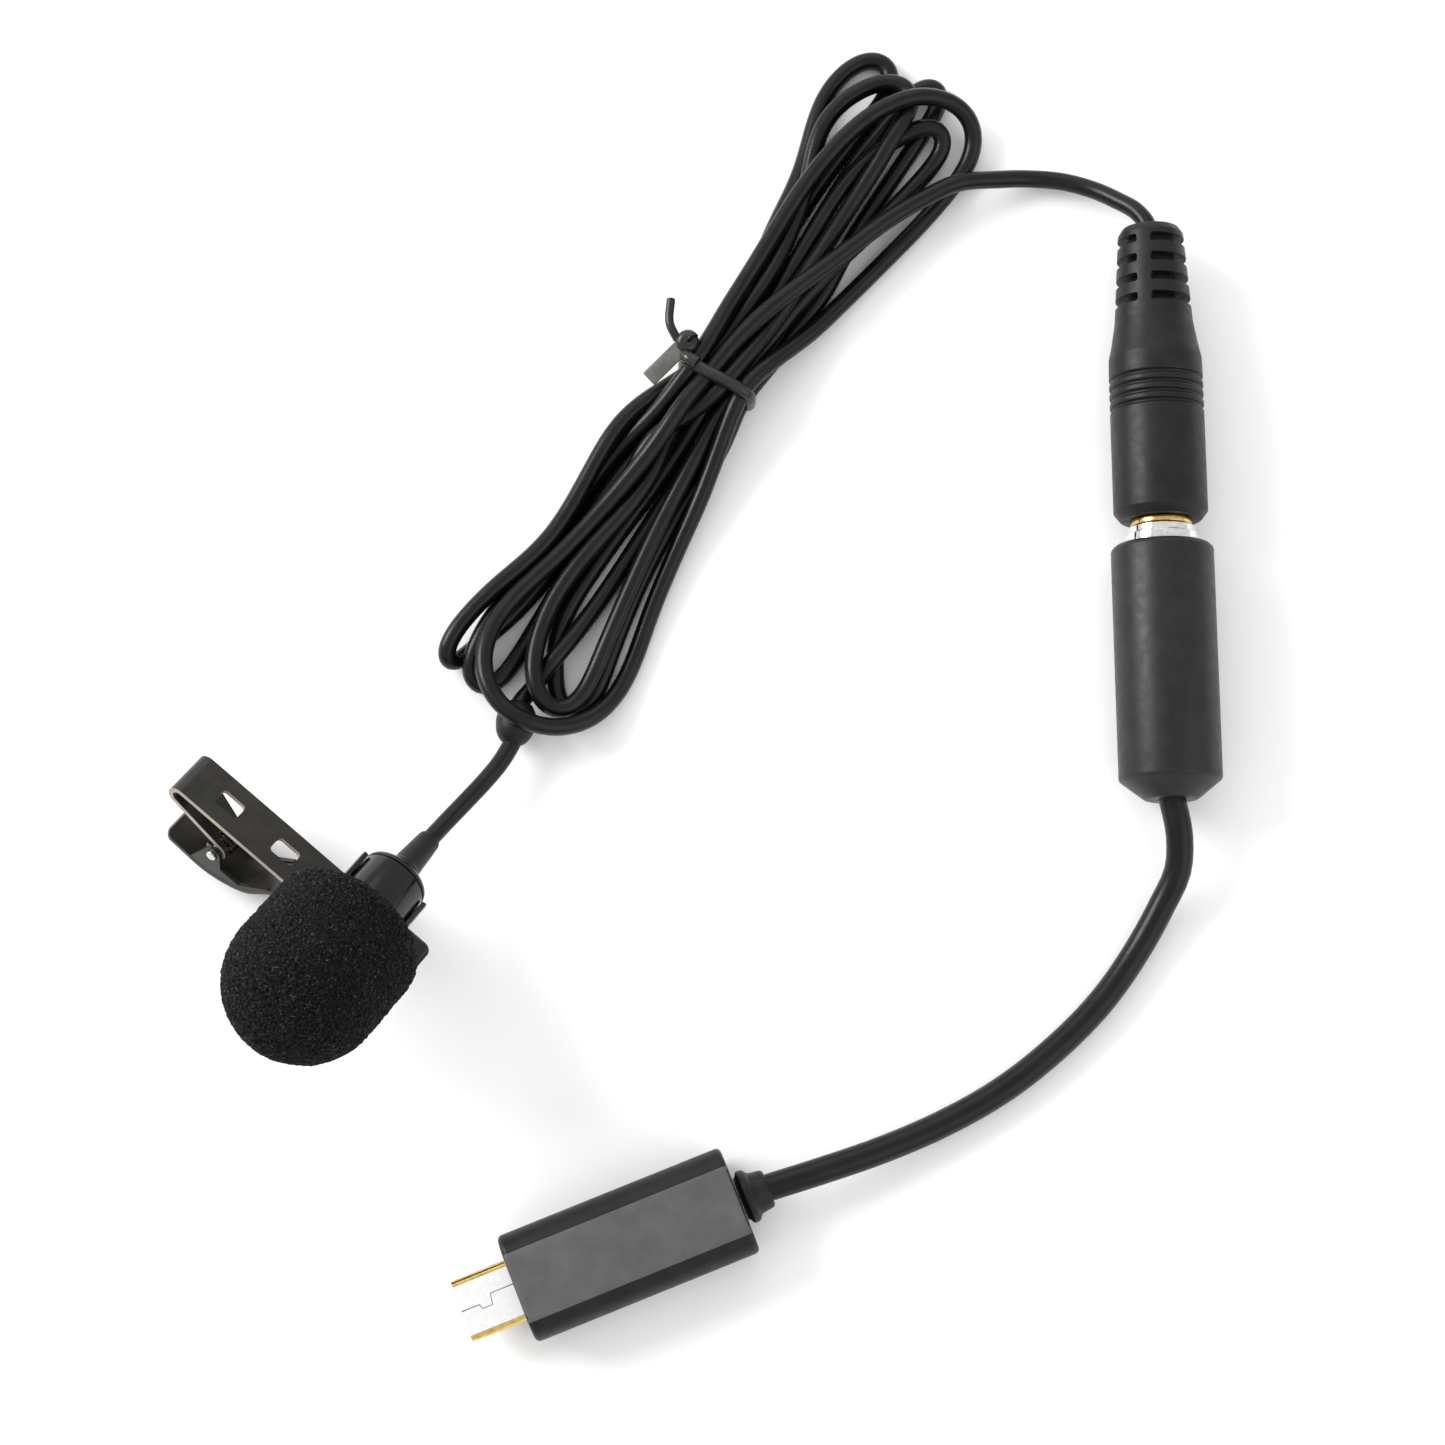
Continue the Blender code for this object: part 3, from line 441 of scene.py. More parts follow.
def rounded_box(length, width, radius, steps=4):
    outline = []
    for sx, sy, start in ((1, 1, 0), (-1, 1, 90), (-1, -1, 180), (1, -1, 270)):
        centre = (sx * (length / 2 - radius), sy * (width / 2 - radius))
        outline += arc(centre, radius, start, start + 90, steps)
    return outline


def smooth_route(points, spacing):
    """Points about spacing apart on one smooth curve through the given ones."""
    points = [Vector(p) for p in points]
    gaps = [(b - a).length for a, b in zip(points, points[1:])]
    ways = [(b - a) / gap for a, b, gap in zip(points, points[1:], gaps)]
    slopes = [ways[0]]
    for before, after, gap, next_gap in zip(ways, ways[1:], gaps, gaps[1:]):
        slopes.append((before * next_gap + after * gap) / (gap + next_gap))
    slopes.append(ways[-1])
    made = []
    for start, end, gap, leave, reach in zip(points, points[1:], gaps, slopes, slopes[1:]):
        steps = max(1, round(gap / spacing))
        for step in range(steps):
            t = step / steps
            made.append(
                start * (2 * t**3 - 3 * t**2 + 1)
                + leave * gap * (t**3 - 2 * t**2 + t)
                + end * (3 * t**2 - 2 * t**3)
                + reach * gap * (t**3 - t**2)
            )
    return [*made, points[-1]]


def wire(name, route, radius, look, sides=5, place=None):
    """A round wire or cable along route, as a curve of one spline."""
    curve = bpy.data.curves.new(name, "CURVE")
    curve.dimensions = "3D"
    curve.bevel_depth = radius * MM
    curve.bevel_resolution = sides
    curve.use_fill_caps = True
    spline = curve.splines.new("POLY")
    spline.points.add(len(route) - 1)
    place = place or Matrix.Identity(4)
    for point, spot in zip(spline.points, route):
        point.co = (*(place @ (Vector(spot) * MM)), 1)
    spline.use_smooth = True
    return link(name, curve, look)


def route_length(route):
    """The length in metres of a route in millimetres."""
    return sum((b - a).length for a, b in zip(route, route[1:])) * MM


def sheet_metal(name, path, thickness, look, place):
    """Bent sheet: path is (x, z, half width) along its mid-plane in local X and Z."""
    shape = bmesh.new()
    rows = [[shape.verts.new((x, side * half, z)) for side in (-1, 1)] for x, z, half in path]
    for (a, b), (c, d) in zip(rows, rows[1:]):
        shape.faces.new((a, c, d, b))
    obj = placed(name, shape, look, place)
    solid = obj.modifiers.new("sheet", "SOLIDIFY")
    solid.thickness = thickness * MM
    solid.offset = 0
    solid.use_even_offset = True
    return soften(applied(obj))


def attach(obj, body, slot, *nodes):
    """Puts a piece on its body, in place of these CAD nodes; slot is not used."""
    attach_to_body(obj, body)
    if nodes:
        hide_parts(*nodes)
    return obj


# ---- Materials ----


class Look:
    """Builds one material's node tree around its Principled shader."""

    def __init__(self, name, colour, roughness, metallic=0.0, **sockets):
        self.material = bpy.data.materials.new(name)
        self.material.use_nodes = True
        self.tree = self.material.node_tree
        self.shader = self.tree.nodes["Principled BSDF"]
        self.set("Base Color", (*colour, 1.0))
        self.set("Roughness", roughness)
        self.set("Metallic", metallic)
        for socket, value in sockets.items():
            self.set(socket.replace("_", " "), value)
        self.place = self.tree.nodes.new("ShaderNodeTexCoord").outputs["Object"]

    def set(self, socket, value):
        self.shader.inputs[socket].default_value = value

    def join(self, output, node, socket):
        self.tree.links.new(output, node.inputs[socket])

    def node(self, kind, **inputs):
        node = self.tree.nodes.new("ShaderNode" + kind)
        for socket, value in inputs.items():
            node.inputs[socket].default_value = value
        return node

    def noise(self, per_metre, detail=3.0, roughness=0.55, stretch=None):
        node = self.node("TexNoise", Scale=per_metre, Detail=detail, Roughness=roughness)
        source = self.place
        if stretch:
            mapping = self.node("Mapping", Scale=stretch)
            self.join(source, mapping, "Vector")
            source = mapping.outputs["Vector"]
        self.join(source, node, "Vector")
        return node.outputs["Fac"]

    def cells(self, per_metre, feature="F1"):
        node = self.node("TexVoronoi", Scale=per_metre)
        node.feature = feature
        self.join(self.place, node, "Vector")
        return node.outputs["Distance"]

    def ramp(self, source, stops):
        """A colour ramp: stops are (position, grey or (r, g, b))."""
        node = self.node("ValToRGB")
        elements = node.color_ramp.elements
        while len(elements) < len(stops):
            elements.new(0.5)
        for element, (position, colour) in zip(elements, stops):
            element.position = position
            colour = (colour,) * 3 if isinstance(colour, (int, float)) else colour
            element.color = (*colour, 1.0)
        self.join(source, node, "Fac")
        return node.outputs["Color"]

    def bump(self, source, strength, distance_mm, before=None):
        node = self.node("Bump", Strength=strength, Distance=distance_mm * MM)
        self.join(source, node, "Height")
        if before:
            self.join(before, node, "Normal")
        return node.outputs["Normal"]

    def colour(self, output):
        self.join(output, self.shader, "Base Color")

    def roughness(self, output):
        self.join(output, self.shader, "Roughness")

    def normal(self, output):
        self.join(output, self.shader, "Normal")


def rubber_look(name, dark, light, rough_low, rough_high, grain=5200, gloss=0.2):
    """Moulded rubber or soft plastic: a cloudy tone, a fine grain and a few dull patches."""
    look = Look(name, dark, rough_high, Specular_IOR_Level=gloss)
    look.colour(look.ramp(look.noise(420, 5), [(0.35, dark), (0.7, light)]))
    look.roughness(look.ramp(look.noise(900, 4), [(0.3, rough_low), (0.75, rough_high)]))
    fine = look.bump(look.noise(grain, 4, 0.6), 0.16, 0.06)
    look.normal(look.bump(look.noise(700, 2), 0.12, 0.12, fine))
    return look.material


def plated_look(name, dark, light, rough, streak=(1, 1, 1), metallic=1.0):
    look = Look(name, light, rough, metallic)
    look.colour(look.ramp(look.noise(1500, 4, stretch=streak), [(0.3, dark), (0.7, light)]))
    patches = look.noise(2600, 4, stretch=streak)
    look.roughness(look.ramp(patches, [(0.3, rough * 0.7), (0.8, rough * 1.5)]))
    look.normal(look.bump(look.noise(2600, 2, stretch=streak), 0.02, 0.02))
    return look.material


def painted_look(name, dark, light, rough):
    """Stove paint on sheet steel: slight orange peel, dust and rubbed tone."""
    look = Look(name, dark, rough, Specular_IOR_Level=0.3, Coat_Weight=0.12, Coat_Roughness=0.2)
    look.colour(look.ramp(look.noise(500, 6), [(0.3, dark), (0.75, light)]))
    look.roughness(look.ramp(look.noise(1400, 5), [(0.3, rough * 0.8), (0.8, rough * 1.25)]))
    look.normal(look.bump(look.noise(2600, 3), 0.14, 0.05))
    return look.material


def foam_look():
    """Open-cell foam: painted shade in its pores between dull struts, and a scatter of painted glints on cell
    walls.
    """
    look = Look("open_cell_foam", (0.004, 0.004, 0.004), 0.9, Specular_IOR_Level=0.15)
    cell = look.cells(3300)
    # The darkest tones are painted shade in the pores, and the lightest is a painted highlight on cell walls.
    strut, painted_glint = (0.005, 0.005, 0.006), (0.09, 0.09, 0.10)
    tones = [(0.0, 0.0004), (0.42, 0.0012), (0.6, strut), (0.74, painted_glint)]
    look.colour(look.ramp(look.noise(3700, 2, 0.75), tones))
    look.roughness(look.ramp(look.noise(5200, 2), [(0.42, 0.95), (0.72, 0.35)]))
    look.normal(look.bump(cell, 0.9, 0.25, look.bump(look.noise(9000, 3), 0.6, 0.1)))
    return look.material


def gloss_look(name, colour, rough):
    look = Look(name, colour, rough, Specular_IOR_Level=0.25, Coat_Weight=0.2, Coat_Roughness=0.08)
    lighter = tuple(c * 1.7 + 0.002 for c in colour)
    look.colour(look.ramp(look.noise(900, 4), [(0.3, colour), (0.8, lighter)]))
    look.roughness(look.ramp(look.noise(1800, 4), [(0.3, rough * 0.8), (0.8, rough * 1.8)]))
    look.normal(look.bump(look.noise(3000, 2), 0.04, 0.03))
    return look.material


def felt_look():
    look = Look("felt", (0.05, 0.05, 0.05), 0.95)
    look.colour(look.ramp(look.noise(5000, 6), [(0.3, 0.02), (0.7, 0.07)]))
    look.normal(look.bump(look.noise(8000, 5), 0.7, 0.1))
    return look.material


def board_look():
    look = Look("circuit_board", (0.01, 0.1, 0.05), 0.35)
    greens = [(0.3, (0.004, 0.05, 0.02)), (0.6, (0.012, 0.11, 0.05))]
    look.colour(look.ramp(look.cells(1500, "F2"), greens))
    look.normal(look.bump(look.noise(3000, 3), 0.1, 0.04))
    return look.material


FOAM = foam_look()
RUBBER = rubber_look(
    "moulded_rubber", (0.009, 0.009, 0.010), (0.015, 0.015, 0.016), 0.34, 0.50, gloss=0.28
)
# A lighter rubber for the USB grip's flat top: a painted sheen where the light from above falls on it.
TOP_SHEEN_RUBBER = rubber_look(
    "painted_top_sheen_rubber", (0.074, 0.075, 0.077), (0.094, 0.095, 0.097), 0.36, 0.52, 3800, gloss=0.3
)
SOFT_BLACK = rubber_look(
    "soft_black_rubber", (0.006, 0.006, 0.0065), (0.011, 0.011, 0.0115), 0.36, 0.52, gloss=0.24
)
CABLE = rubber_look(
    "cable_jacket", (0.003, 0.003, 0.0033), (0.006, 0.006, 0.0064), 0.24, 0.36, 3600, gloss=0.24
)
GREY_PLASTIC = rubber_look("grey_plastic", (0.08, 0.08, 0.08), (0.11, 0.11, 0.11), 0.4, 0.6)
RED_WIRE = rubber_look("red_wire", (0.30, 0.02, 0.01), (0.40, 0.04, 0.02), 0.4, 0.55)
TIE = rubber_look(
    "tie_plastic", (0.008, 0.0065, 0.006), (0.020, 0.017, 0.015), 0.20, 0.34, gloss=0.4
)
TIE_FLAT = rubber_look(
    "tie_flat_plastic", (0.08, 0.075, 0.07), (0.17, 0.165, 0.155), 0.25, 0.4, gloss=0.4
)
GLOSS_BLACK = gloss_look("gloss_black", (0.002, 0.002, 0.002), 0.12)
SATIN_BLACK = gloss_look("satin_black", (0.004, 0.004, 0.004), 0.24)
PAINTED = painted_look("painted_steel", (0.011, 0.010, 0.008), (0.024, 0.021, 0.017), 0.36)
# A light tan for the clip strip's cut sides: a painted highlight along its edges.
PAINTED_EDGE_HIGHLIGHT = painted_look("painted_edge_highlight", (0.20, 0.17, 0.13), (0.42, 0.37, 0.30), 0.3)
STEEL = plated_look("bright_steel", (0.42, 0.42, 0.42), (0.66, 0.66, 0.66), 0.24)
CHROME = plated_look("bright_plate", (0.62, 0.62, 0.62), (0.86, 0.86, 0.85), 0.10)
TIN = plated_look("bright_tin", (0.90, 0.89, 0.88), (0.97, 0.97, 0.96), 0.28, metallic=0.7)
GOLD = plated_look("gold_plate", (0.55, 0.36, 0.10), (0.80, 0.58, 0.24), 0.18)
FELT = felt_look()
BOARD = board_look()


# ---- Camera, light and floor ----


def aim(obj, target):
    obj.rotation_euler = (target - obj.location).to_track_quat("-Z", "Y").to_euler()


def build_stage():
    """A camera high above the table, a pale floor, and soft light from the upper left."""
    target = Vector(CAMERA_TARGET) * MM
    distance = CAMERA_DISTANCE * MM
    lift = radians(CAMERA_LIFT_DEG)
    camera_data = bpy.data.cameras.new("camera")
    camera_data.sensor_width = CAMERA_SENSOR
    camera_data.lens = CAMERA_LENS
    camera_data.clip_start = 0.01
    camera = link("camera", camera_data)
    camera.location = target + distance * Vector((0, -cos(lift), sin(lift)))
    aim(camera, target)
    bpy.context.scene.camera = camera

    floor_shape = bmesh.new()
    bmesh.ops.create_grid(floor_shape, x_segments=8, y_segments=8, size=FLOOR_HALF_SIZE)
    floor_look = Look("paper_floor", (0.97, 0.97, 0.97), 0.9, Specular_IOR_Level=0.1)
    floor_look.colour(floor_look.ramp(floor_look.noise(60, 3), [(0.3, 0.965), (0.7, 0.985)]))
    finish_shape("floor", floor_shape, floor_look.material, at(*FLOOR_PLACE))

    for name, spot, size, watts in LIGHTS:
        data = bpy.data.lights.new(name, "AREA")
        data.shape = "DISK"
        data.size = size
        data.energy = watts
        light = link(name, data)
        light.location = target + Vector(spot)
        aim(light, target)

    world = bpy.data.worlds.new("studio")
    world.use_nodes = True
    background = world.node_tree.nodes["Background"]
    background.inputs["Color"].default_value = (1, 1, 1, 1)
    background.inputs["Strength"].default_value = SKY_STRENGTH
    bpy.context.scene.world = world
    bpy.context.scene.view_settings.view_transform = "Standard"


# ---- The bundled cable ----


def bundle_point(u, v, z):
    """A point of the bundle's frame in the row frame, in millimetres."""
    turn = radians(BUNDLE_DEG)
    x = TIE_CENTRE[0] + u * cos(turn) + v * sin(turn)
    y = TIE_CENTRE[1] + u * sin(turn) - v * cos(turn)
    return Vector((x, y, z))


def loop_points(loop, way, steps=12):
    """One loop's way from the tie and back: half an ellipse through its shoulders and its tip."""
    *spots, places, heights = loop
    left, tip, right = (Vector((way * u, v, z)) for (u, v), z in zip(spots, heights))
    centre, across, along = (left + right) / 2, (right - left) / 2, tip - (left + right) / 2
    layer = (TIE_LOW + TIE_HIGH) / 2
    left_height, right_height = (side.z * 0.6 + layer * 0.4 for side in (left, right))
    points = [Vector((way * u, v, left_height)) for u, v, _ in places]
    for step in range(steps + 1):
        angle = pi * step / steps
        points.append(centre - across * cos(angle) + along * sin(angle))
    points += [Vector((way * u, v, right_height)) for u, _, v in reversed(places)]
    return points if way > 0 else points[::-1]


def bundle_route():
    """The whole bundle from the junction to the tail, in millimetres, before it settles."""
    spots = [*BUNDLE_START, (0, *LANES[0])]
    for index, loop in enumerate(LOOPS):
        spots += loop_points(loop, 1 if index % 2 == 0 else -1)
        spots.append((0, *LANES[index + 1]))
    return [bundle_point(*spot) for spot in [*spots, *BUNDLE_END]]


def evened(route, spacing, rounds):
    """The route again in even steps, with its small kinks smoothed out as a cable's would be."""
    spots = np.array([tuple(p) for p in route])
    along = np.concatenate([[0], np.cumsum(np.linalg.norm(np.diff(spots, axis=0), axis=1))])
    marks = np.linspace(0, along[-1], int(along[-1] / spacing) + 1)
    even = np.stack([np.interp(marks, along, spots[:, axis]) for axis in range(3)], axis=1)
    for _ in range(rounds):
        even[1:-1] = even[1:-1] * 0.5 + (even[:-2] + even[2:]) * 0.25
    return [Vector(p) for p in even]


def pushed_apart(now, rows, columns, apart_by):
    """How far each point moves so that turns that are too close part, mostly up and down."""
    strength, sideways, most_pushes = 0.45, 0.55, 2
    gap = now[rows] - now[columns]
    distance = np.linalg.norm(gap, axis=1)
    close = distance < apart_by
    way = gap[close] * (sideways, sideways, 1.0)
    way /= np.linalg.norm(way, axis=1)[:, None] + 1e-9
    push = way * ((apart_by - distance[close]) * strength)[:, None]
    moved = np.zeros_like(now)
    weight = np.zeros(len(now))
    np.add.at(moved, rows[close], push)
    np.add.at(moved, columns[close], -push)
    np.add.at(weight, rows[close], 1)
    np.add.at(weight, columns[close], 1)
    return moved / np.maximum(weight, 1)[:, None] * np.minimum(weight, most_pushes)[:, None]


def settle(route, radius, rounds=360):
    """Pushes the cable's turns off each other, the junction and the table, and lets them down."""
    drop, tie_reach, highest = 0.005, 1.5, 8.0
    contact, neighbours = 2.06 * radius, 3.2 * radius
    kept_share, side_share = 0.6, 0.2
    planned = np.array([tuple(p) for p in route])
    shift = np.zeros_like(planned)
    count = len(planned)
    spacing = np.linalg.norm(np.diff(planned, axis=0), axis=1).mean()
    apart = int(np.ceil(neighbours / spacing)) + 1
    rows, columns = np.triu_indices(count, apart)
    far_from_start = np.arange(count) > 12
    start, end = np.array(JUNCTION_START), np.array(JUNCTION_END)
    knots = [start + (end - start) * part for part in (0.3, 0.5, 0.7)]
    clear = JUNCTION_RADIUS + radius + 0.1
    turn = radians(BUNDLE_DEG)
    for _ in range(rounds):
        shift[:, 2] -= drop
        shift += pushed_apart(planned + shift, rows, columns, contact)
        smoothed = shift.copy()
        smoothed[1:-1] = shift[1:-1] * kept_share + (shift[:-2] + shift[2:]) * side_share
        shift = smoothed
        now = planned + shift
        east, north = now[:, 0] - TIE_CENTRE[0], now[:, 1] - TIE_CENTRE[1]
        across = east * sin(turn) - north * cos(turn)
        along = east * cos(turn) + north * sin(turn)
        tied = np.abs(along) < tie_reach
        limit = TIE_HALF_SPAN - radius
        over = np.where(tied, np.clip(across, -limit, limit) - across, 0)
        shift[:, 0] += over * sin(turn)
        shift[:, 1] -= over * cos(turn)
        floor = np.where(tied, TIE_LOW + radius, radius)
        for spot in knots:
            aside = np.hypot(now[:, 0] - spot[0], now[:, 1] - spot[1])
            over_it = spot[2] + np.sqrt(np.maximum(clear**2 - aside**2, 0))
            floor = np.where((aside < clear) & far_from_start, np.maximum(floor, over_it), floor)
        ceiling = np.where(tied, TIE_HIGH - radius, highest)
        shift[:, 2] = np.clip(now[:, 2], floor, ceiling) - planned[:, 2]
        shift[0] = 0
        shift[-1] = 0
    return [Vector(p) for p in planned + shift]


def build_mic_cable():
    """The microphone's cable from its strain relief to its plug, as one curve."""
    inside_relief, inside_plug, step = 0.6, 1.4, 1.0
    lead = [Vector(p) for p in LEAD_ROUTE]
    junction = [Vector(JUNCTION_START), Vector(JUNCTION_END)]
    coarse = evened(smooth_route(bundle_route(), 0.6), step, rounds=5)
    bundle = evened(settle(coarse, MIC_CABLE_RADIUS), step, rounds=3)
    tail = [Vector(p) for p in TAIL_ROUTE]
    start = lead[0] - (lead[1] - lead[0]).normalized() * inside_relief
    end = tail[-1] + Vector((0, -inside_plug, 0))
    route = smooth_route([start, *lead[1:], *junction, *bundle, *tail, end], 0.45)
    cable = wire("mic_cable", route, MIC_CABLE_RADIUS, CABLE, sides=6)
    nodes = [f"mic_cable_{stretch}" for stretch in ("lead", "hank", "tail")]
    attach(cable, "microphone", "cable_jacket", *nodes)
    return cable, Vector(LEAD_ROUTE[0]) * MM, route_length(route)


def build_junction():
    start, end = Vector(JUNCTION_START), Vector(JUNCTION_END)
    run = end - start
    place = run.to_track_quat("Z", "Y").to_matrix().to_4x4()
    place.translation = start * MM
    profile = (
        (0.9, run.length), (1.5, run.length), (2.15, 3.6), (JUNCTION_RADIUS, 2.6), (2.0, 1.2),
        (1.5, 0.4), (1.0, 0.02), (0.9, 0),
    )
    sleeve = turned("junction_sleeve", profile, SOFT_BLACK, place, closed=True, soft=0.5, steps=64)
    return attach(sleeve, "microphone", "rubber", "cable_junction")


def bundle_wire(name, spots, spacing, radius):
    """A wire of the tie, smoothed through points of the bundle's frame."""
    route = smooth_route([bundle_point(*spot) for spot in spots], spacing)
    return wire(name, route, radius, TIE, sides=4)


def build_tie_band():
    """The band round the waist, closed on itself."""
    mid, half = (TIE_LOW + TIE_HIGH) / 2, (TIE_HIGH - TIE_LOW) / 2
    section = rounded_box(2 * TIE_HALF_SPAN, 2 * half, TIE_BAND_CORNER, 8)
    loop = [(-0.8 + 0.05 * v, v, mid + z) for v, z in section]
    route = smooth_route([bundle_point(*spot) for spot in [*loop, loop[0]]], 0.5)
    band = wire("tie_band", route[:-1], TIE_BAND_RADIUS, TIE, sides=4)
    band.data.splines[0].use_cyclic_u = True
    return attach(band, "microphone", "tie_plastic", "twist_tie_band")


def build_tie_knot():
    """The round knot at the band's left end."""
    u, v, z = TIE_KNOT_CENTRE
    spots = list(TIE_KNOT_START)
    steps = 24
    for step in range(steps + 1):
        angle = 2 * pi * TIE_KNOT_TURNS * step / steps - pi / 2
        rise = TIE_KNOT_RISE * step / steps
        spots.append((u + TIE_KNOT_REACH[0] * sin(angle), v - TIE_KNOT_REACH[1] * cos(angle), z + rise))
    return attach(bundle_wire("tie_knot", spots, 0.25, TIE_KNOT_RADIUS), "microphone", "tie_plastic")


def build_twist_tie():
    """A band, a knot, and two free ends, one round and one flat."""
    band = build_tie_band()
    knot = build_tie_knot()
    round_end = bundle_wire("tie_end_round", TIE_END_ROUTE, 0.5, TIE_END_RADIUS)
    attach(round_end, "microphone", "tie_plastic", "twist_tie_ends")

    start, end = (bundle_point(*spot) for spot in TIE_FLAT_ENDS)
    along = (end - start).normalized()
    side = Vector((0, 0, 1)).cross(along).normalized()
    place = frame_matrix((start + end) / 2 * MM, along, side, along.cross(side))
    size = ((end - start).length, *TIE_FLAT_SIZE)
    flat_end = block("tie_end_flat", size, TIE_FLAT, place, bevel=0.15)
    attach(flat_end, "microphone", "tie_plastic")
    return [band, knot, round_end, flat_end]


# ---- Head ----


def build_windscreen(axis):
    """The foam ball, with its cells as real relief."""
    shoulder = arc((FOAM_RADIUS - FOAM_SHOULDER, FOAM_REAR - FOAM_SHOULDER), FOAM_SHOULDER, 90, 0, 14)
    dome = arc((0, FOAM_TIP + FOAM_RADIUS), FOAM_RADIUS, 0, -89.6, 60)
    wall = [(FOAM_RADIUS, FOAM_REAR - FOAM_SHOULDER - 0.25 * i) for i in range(1, 26)]
    inner_end = BARREL_FRONT - 0.3
    bore = [(0.001, inner_end), (FOAM_BORE, inner_end), (FOAM_BORE, FOAM_REAR - 0.3)]
    rear = [(FOAM_BORE + 0.3 + 0.22 * i, FOAM_REAR) for i in range(10)]
    shape = spun([*bore, *rear, *shoulder, *wall, *dome], FOAM_STEPS, FOAM_WELD)
    outside = [e for e in shape.edges if e.verts[0].co.xy.length > FOAM_BORE + 0.1]
    coarse = [e for e in outside if e.calc_length() > FOAM_MESH]
    bmesh.ops.subdivide_edges(shape, edges=coarse, cuts=1, use_grid_fill=True)
    bmesh.ops.holes_fill(shape, edges=shape.edges)
    bmesh.ops.recalc_face_normals(shape, faces=shape.faces)
    shape.normal_update()
    moves = []
    for vert in shape.verts:
        if vert.co.xy.length < FOAM_BORE + 0.2 and vert.co.z > inner_end - 0.2:
            continue
        near = noise.voronoi(vert.co / FOAM_CELL)[0]
        wide = noise.noise(vert.co / FOAM_SWELL_SIZE)
        relief = (near[1] - near[0]) * FOAM_PORE_DEPTH + near[0] * FOAM_CELL_RISE
        moves.append((vert, relief + wide * FOAM_SWELL - FOAM_SINK))
    for vert, lift in moves:
        vert.co += vert.normal * lift
    foam = finish_shape("windscreen_foam", shape, FOAM, axis)
    attach(foam, "windscreen", "foam", "foam_windscreen")


def build_barrel(axis):
    tube = (
        (BARREL_RADIUS, BARREL_REAR), (BARREL_RADIUS, BARREL_FRONT), (BARREL_BORE, BARREL_FRONT),
        (BARREL_BORE, BARREL_REAR),
    )
    barrel = turned("barrel", tube, GLOSS_BLACK, axis, closed=True)
    attach(barrel, "microphone", "gloss_black", "capsule_housing")
    cap = (
        (0, 4.55), (2.3, 4.55), (3.0, 4.1), (3.65, 3.6), (BARREL_RADIUS, 3.3),
        (BARREL_RADIUS, 3.05), (3.2, 3.05), (3.2, 0.8), (0, 0.8),
    )
    attach(turned("barrel_cap", cap, SATIN_BLACK, axis), "microphone", "satin_black", "rear_cap")
    relief = (
        (0, RELIEF_END), (1.22, RELIEF_END), (1.3, 9.7), (1.62, 5.4), (1.9, 5.0), (1.9, 4.7),
        (0, 4.7),
    )
    gland = turned("cable_relief", relief, SOFT_BLACK, axis, soft=0.15)
    attach(gland, "microphone", "rubber", "strain_relief")


def build_holder(head):
    steps = 48
    start, end = -90 - RING_ARM_DEG, -90 + RING_ARM_DEG
    outline = arc((0, 0), RING_OUTER, start, end, steps) + arc((0, 0), RING_BORE, end, start, steps)
    length = RING_FRONT - RING_BACK
    place = head @ at(0, (RING_FRONT + RING_BACK) / 2, 0) @ ACROSS
    ring = prism("holder_clip_ring", outline, length, SATIN_BLACK, place)
    foot = block("foot", RING_FOOT_SIZE, SATIN_BLACK, head @ at(*RING_FOOT_CENTRE))
    cut(ring, foot, operation="UNION")
    break_edges(ring, 0.09)
    attach(ring, "clip", "satin_black", "holder_ring")
    rivet = (
        (0, -3.75), (0.5, -3.8), (0.95, -4.1), (1.0, -4.36), (RIVET_RADIUS, -4.36),
        (RIVET_RADIUS, -5.64), (0.9, -5.64), (0.8, -5.9), (0, -5.95),
    )
    head_rivet = turned("ring_rivet", rivet, STEEL, head @ at(RIVET_X, 0, 0), steps=48)
    attach(head_rivet, "clip", "bright_steel", "holder_rivet")


def strip_path():
    """Mid-plane of the strip: tip, top run, fold, leaf and the knuckle curled round the pin."""
    half = STRIP_WIDTH / 2
    mid = STRIP_TOP - STRIP_THICKNESS / 2
    fold_x = STRIP_FOLD + STRIP_THICKNESS / 2 + STRIP_FOLD_RADIUS
    fold_z = mid - STRIP_FOLD_RADIUS
    knuckle = PIN_RADIUS + PIN_CLEARANCE + STRIP_THICKNESS / 2
    to_pin = Vector(PIVOT) - Vector((fold_x, fold_z))
    slant = asin((knuckle + STRIP_FOLD_RADIUS) / to_pin.length)
    turn = degrees(atan2(to_pin.y, to_pin.x) + slant)
    fold = arc((fold_x, fold_z), STRIP_FOLD_RADIUS, 90, 270 + turn, 16)
    curl = arc(PIVOT, knuckle, 90 + turn, -190, 20)
    corner = arc((STRIP_TIP - SHEET_CORNER, 0), SHEET_CORNER, 0, 90, 6)
    tip = [(x, mid, half - SHEET_CORNER + y) for x, y in corner]
    rows = tip + [(x, z, half) for x, z in fold]
    return rows + [(x, z, KNUCKLE_HALF_WIDTH) for x, z in curl]


def build_strip(head):
    strip = sheet_metal("clip_upper_strip", strip_path(), STRIP_THICKNESS, PAINTED, head)
    mid = STRIP_TOP - STRIP_THICKNESS / 2
    cutters = []
    for index, x in enumerate(SLOT_CENTRES):
        outline = rounded_box(*SLOT_SIZE, SLOT_CORNER)
        cutters.append(prism(f"slot_{index}", outline, SLOT_DEPTH, PAINTED, head @ at(x, 0, mid)))
    window = head @ at(PIVOT[0] + 0.1, 0, PIVOT[1])
    cutters.append(block("window", SPRING_WINDOW_SIZE, PAINTED, window))
    cut(strip, *cutters)
    break_edges(strip, 0.09, degrees_from=40)
    # The faces turned sideways, the strip's cut sides, get the lighter colour: a painted highlight along its
    # edges.
    sideways = head.to_3x3() @ Vector((0, 1, 0))
    second_look(strip, PAINTED_EDGE_HIGHLIGHT, lambda normal: abs(normal.dot(sideways)) > 0.55)
    attach(strip, "clip", "painted_steel", "clip_strip")


